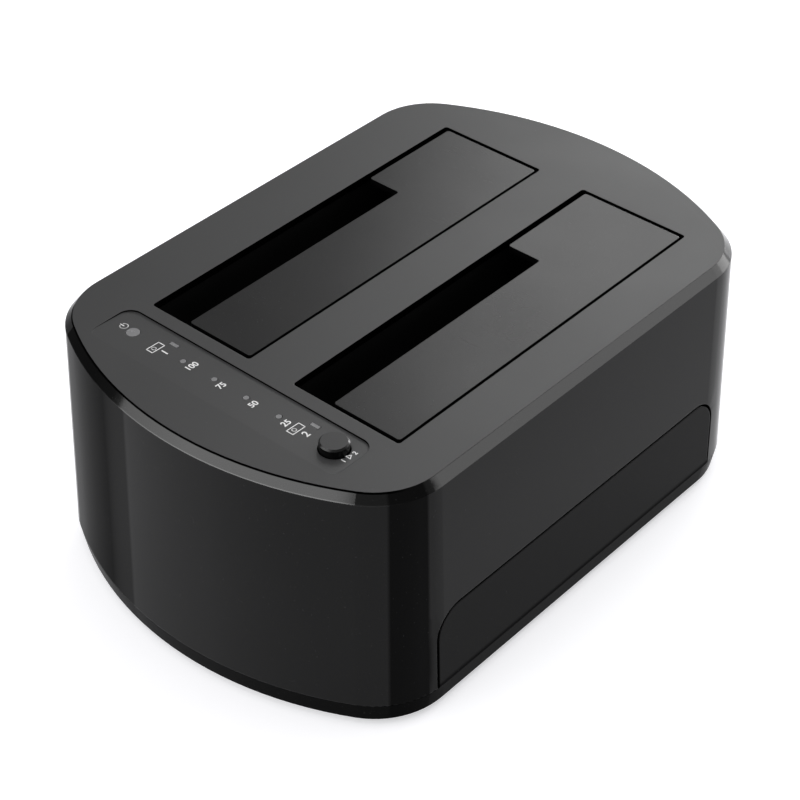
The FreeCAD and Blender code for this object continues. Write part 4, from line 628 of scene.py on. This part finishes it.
studio = {
    "floor": grey(0.80),
    "world": 0.20,        # light from all round
    "glow": 0.52,         # the floor's own light near the dock, 1 far from it
    "floorSize": 60.0,
    "whiteFrom": 0.6,     # metres from the dock where the floor starts to go white
    "whiteAt": 1.6,
    # name: place (m), size (m), emitted radiance, turn about its own axis (degrees)
    "lamps": {
        "leftFront": ((-0.385, -0.976, 0.62), (1.50, 0.50), 2.85, 17.0),
        "back": ((-0.20, 1.17, 0.78), (1.30, 0.80), 2.4, 0.0),
        "backLow": ((-0.16, 1.30, 0.16), (0.70, 0.28), 7.2, 0.0),
        "rightBack": ((0.90, 0.85, 0.46), (0.75, 0.28), 1.9, 0.0),
        "rightLow": ((0.58, 1.15, 0.20), (0.60, 0.25), 3.4, 0.0),
        "above": ((0.0, 0.0, 1.30), (1.30, 1.30), 1.5, 0.0),
    },
    "aim": (0.0, 0.0, 0.04),
}
cameraFit = {
    "azimuth": 41.054,
    "elevation": 38.625,
    "roll": 0.321,
    "focalPixels": 2162.5,
    "framePixels": 800.0,
    "sensor": 36.0,
    "place": (0.27019, -0.31217, 0.35874),
}


def makeFloor():
    bpy.ops.mesh.primitive_grid_add(x_subdivisions=8, y_subdivisions=8, size=studio["floorSize"])
    floor = bpy.context.object
    floor.name = "studioFloor"
    material, tree, shader = newMaterial("paleFloor")
    output = [node for node in tree.nodes if node.type == "OUTPUT_MATERIAL"][0]
    shader.inputs["Roughness"].default_value = 0.9
    shader.inputs["Specular IOR Level"].default_value = 0.1
    tint = mixColour(tree, noise(tree, 30.0, 3.0), studio["floor"], grey(0.81))
    tree.links.new(tint, shader.inputs["Base Color"])
    place = addNode(tree, "ShaderNodeNewGeometry").outputs["Position"]
    far = addNode(tree, "ShaderNodeVectorMath", {"operation": "LENGTH"}, i0=place).outputs["Value"]
    white = ramp(tree, far, studio["whiteFrom"], studio["whiteAt"], studio["glow"], 1.0)
    rays = addNode(tree, "ShaderNodeLightPath")
    seen = compute(tree, "MAXIMUM", rays.outputs["Is Camera Ray"], rays.outputs["Is Glossy Ray"])
    seen = compute(tree, "MAXIMUM", seen, rays.outputs["Is Transmission Ray"])
    glow = addNode(tree, "ShaderNodeEmission", Color=grey(1.0),
                   Strength=compute(tree, "MULTIPLY", seen, white))
    both = addNode(tree, "ShaderNodeAddShader", i0=shader.outputs["BSDF"],
                   i1=glow.outputs["Emission"])
    tree.links.new(both.outputs["Shader"], output.inputs["Surface"])
    floor.data.materials.append(material)


def makeLamp(name, place, size, strength, turn):
    lamp = bpy.data.lights.new(name, "AREA")
    lamp.shape = "RECTANGLE"
    lamp.size, lamp.size_y = size
    lamp.energy = strength * math.pi * size[0] * size[1]
    holder = bpy.data.objects.new(name, lamp)
    scene.collection.objects.link(holder)
    holder.location = place
    toward = Vector(studio["aim"]) - Vector(place)
    aimed = toward.to_track_quat("-Z", "Y").to_matrix()
    holder.rotation_euler = (aimed @ Matrix.Rotation(math.radians(turn), 3, "Z")).to_euler()


def makeWorld():
    world = bpy.data.worlds.new("studioWorld")
    scene.world = world
    world.use_nodes = True
    sky = world.node_tree.nodes["Background"]
    sky.inputs["Color"].default_value = (1.0, 1.0, 1.0, 1.0)
    sky.inputs["Strength"].default_value = studio["world"]


def makeCamera():
    azimuth = math.radians(cameraFit["azimuth"])
    elevation = math.radians(cameraFit["elevation"])
    back = Vector((math.sin(azimuth) * math.cos(elevation),
                   -math.cos(azimuth) * math.cos(elevation), math.sin(elevation)))
    level = Vector((math.cos(azimuth), math.sin(azimuth), 0))
    upright = back.cross(level)
    roll = math.radians(cameraFit["roll"])
    right = level * math.cos(roll) + upright * math.sin(roll)
    up = upright * math.cos(roll) - level * math.sin(roll)
    data = bpy.data.cameras.new("photoCamera")
    data.sensor_fit = "HORIZONTAL"
    data.sensor_width = cameraFit["sensor"]
    data.lens = cameraFit["focalPixels"] / cameraFit["framePixels"] * cameraFit["sensor"]
    data.clip_start = 0.01
    holder = bpy.data.objects.new("photoCamera", data)
    scene.collection.objects.link(holder)
    turn = Matrix((right, up, back)).transposed().to_4x4()
    holder.matrix_world = Matrix.Translation(cameraFit["place"]) @ turn
    scene.camera = holder


makeFloor()
for lampName, lampSettings in studio["lamps"].items():
    makeLamp(lampName, *lampSettings)
makeWorld()
makeCamera()
scene.view_settings.view_transform = "Standard"
print("stage 4: floor, lamps and camera")
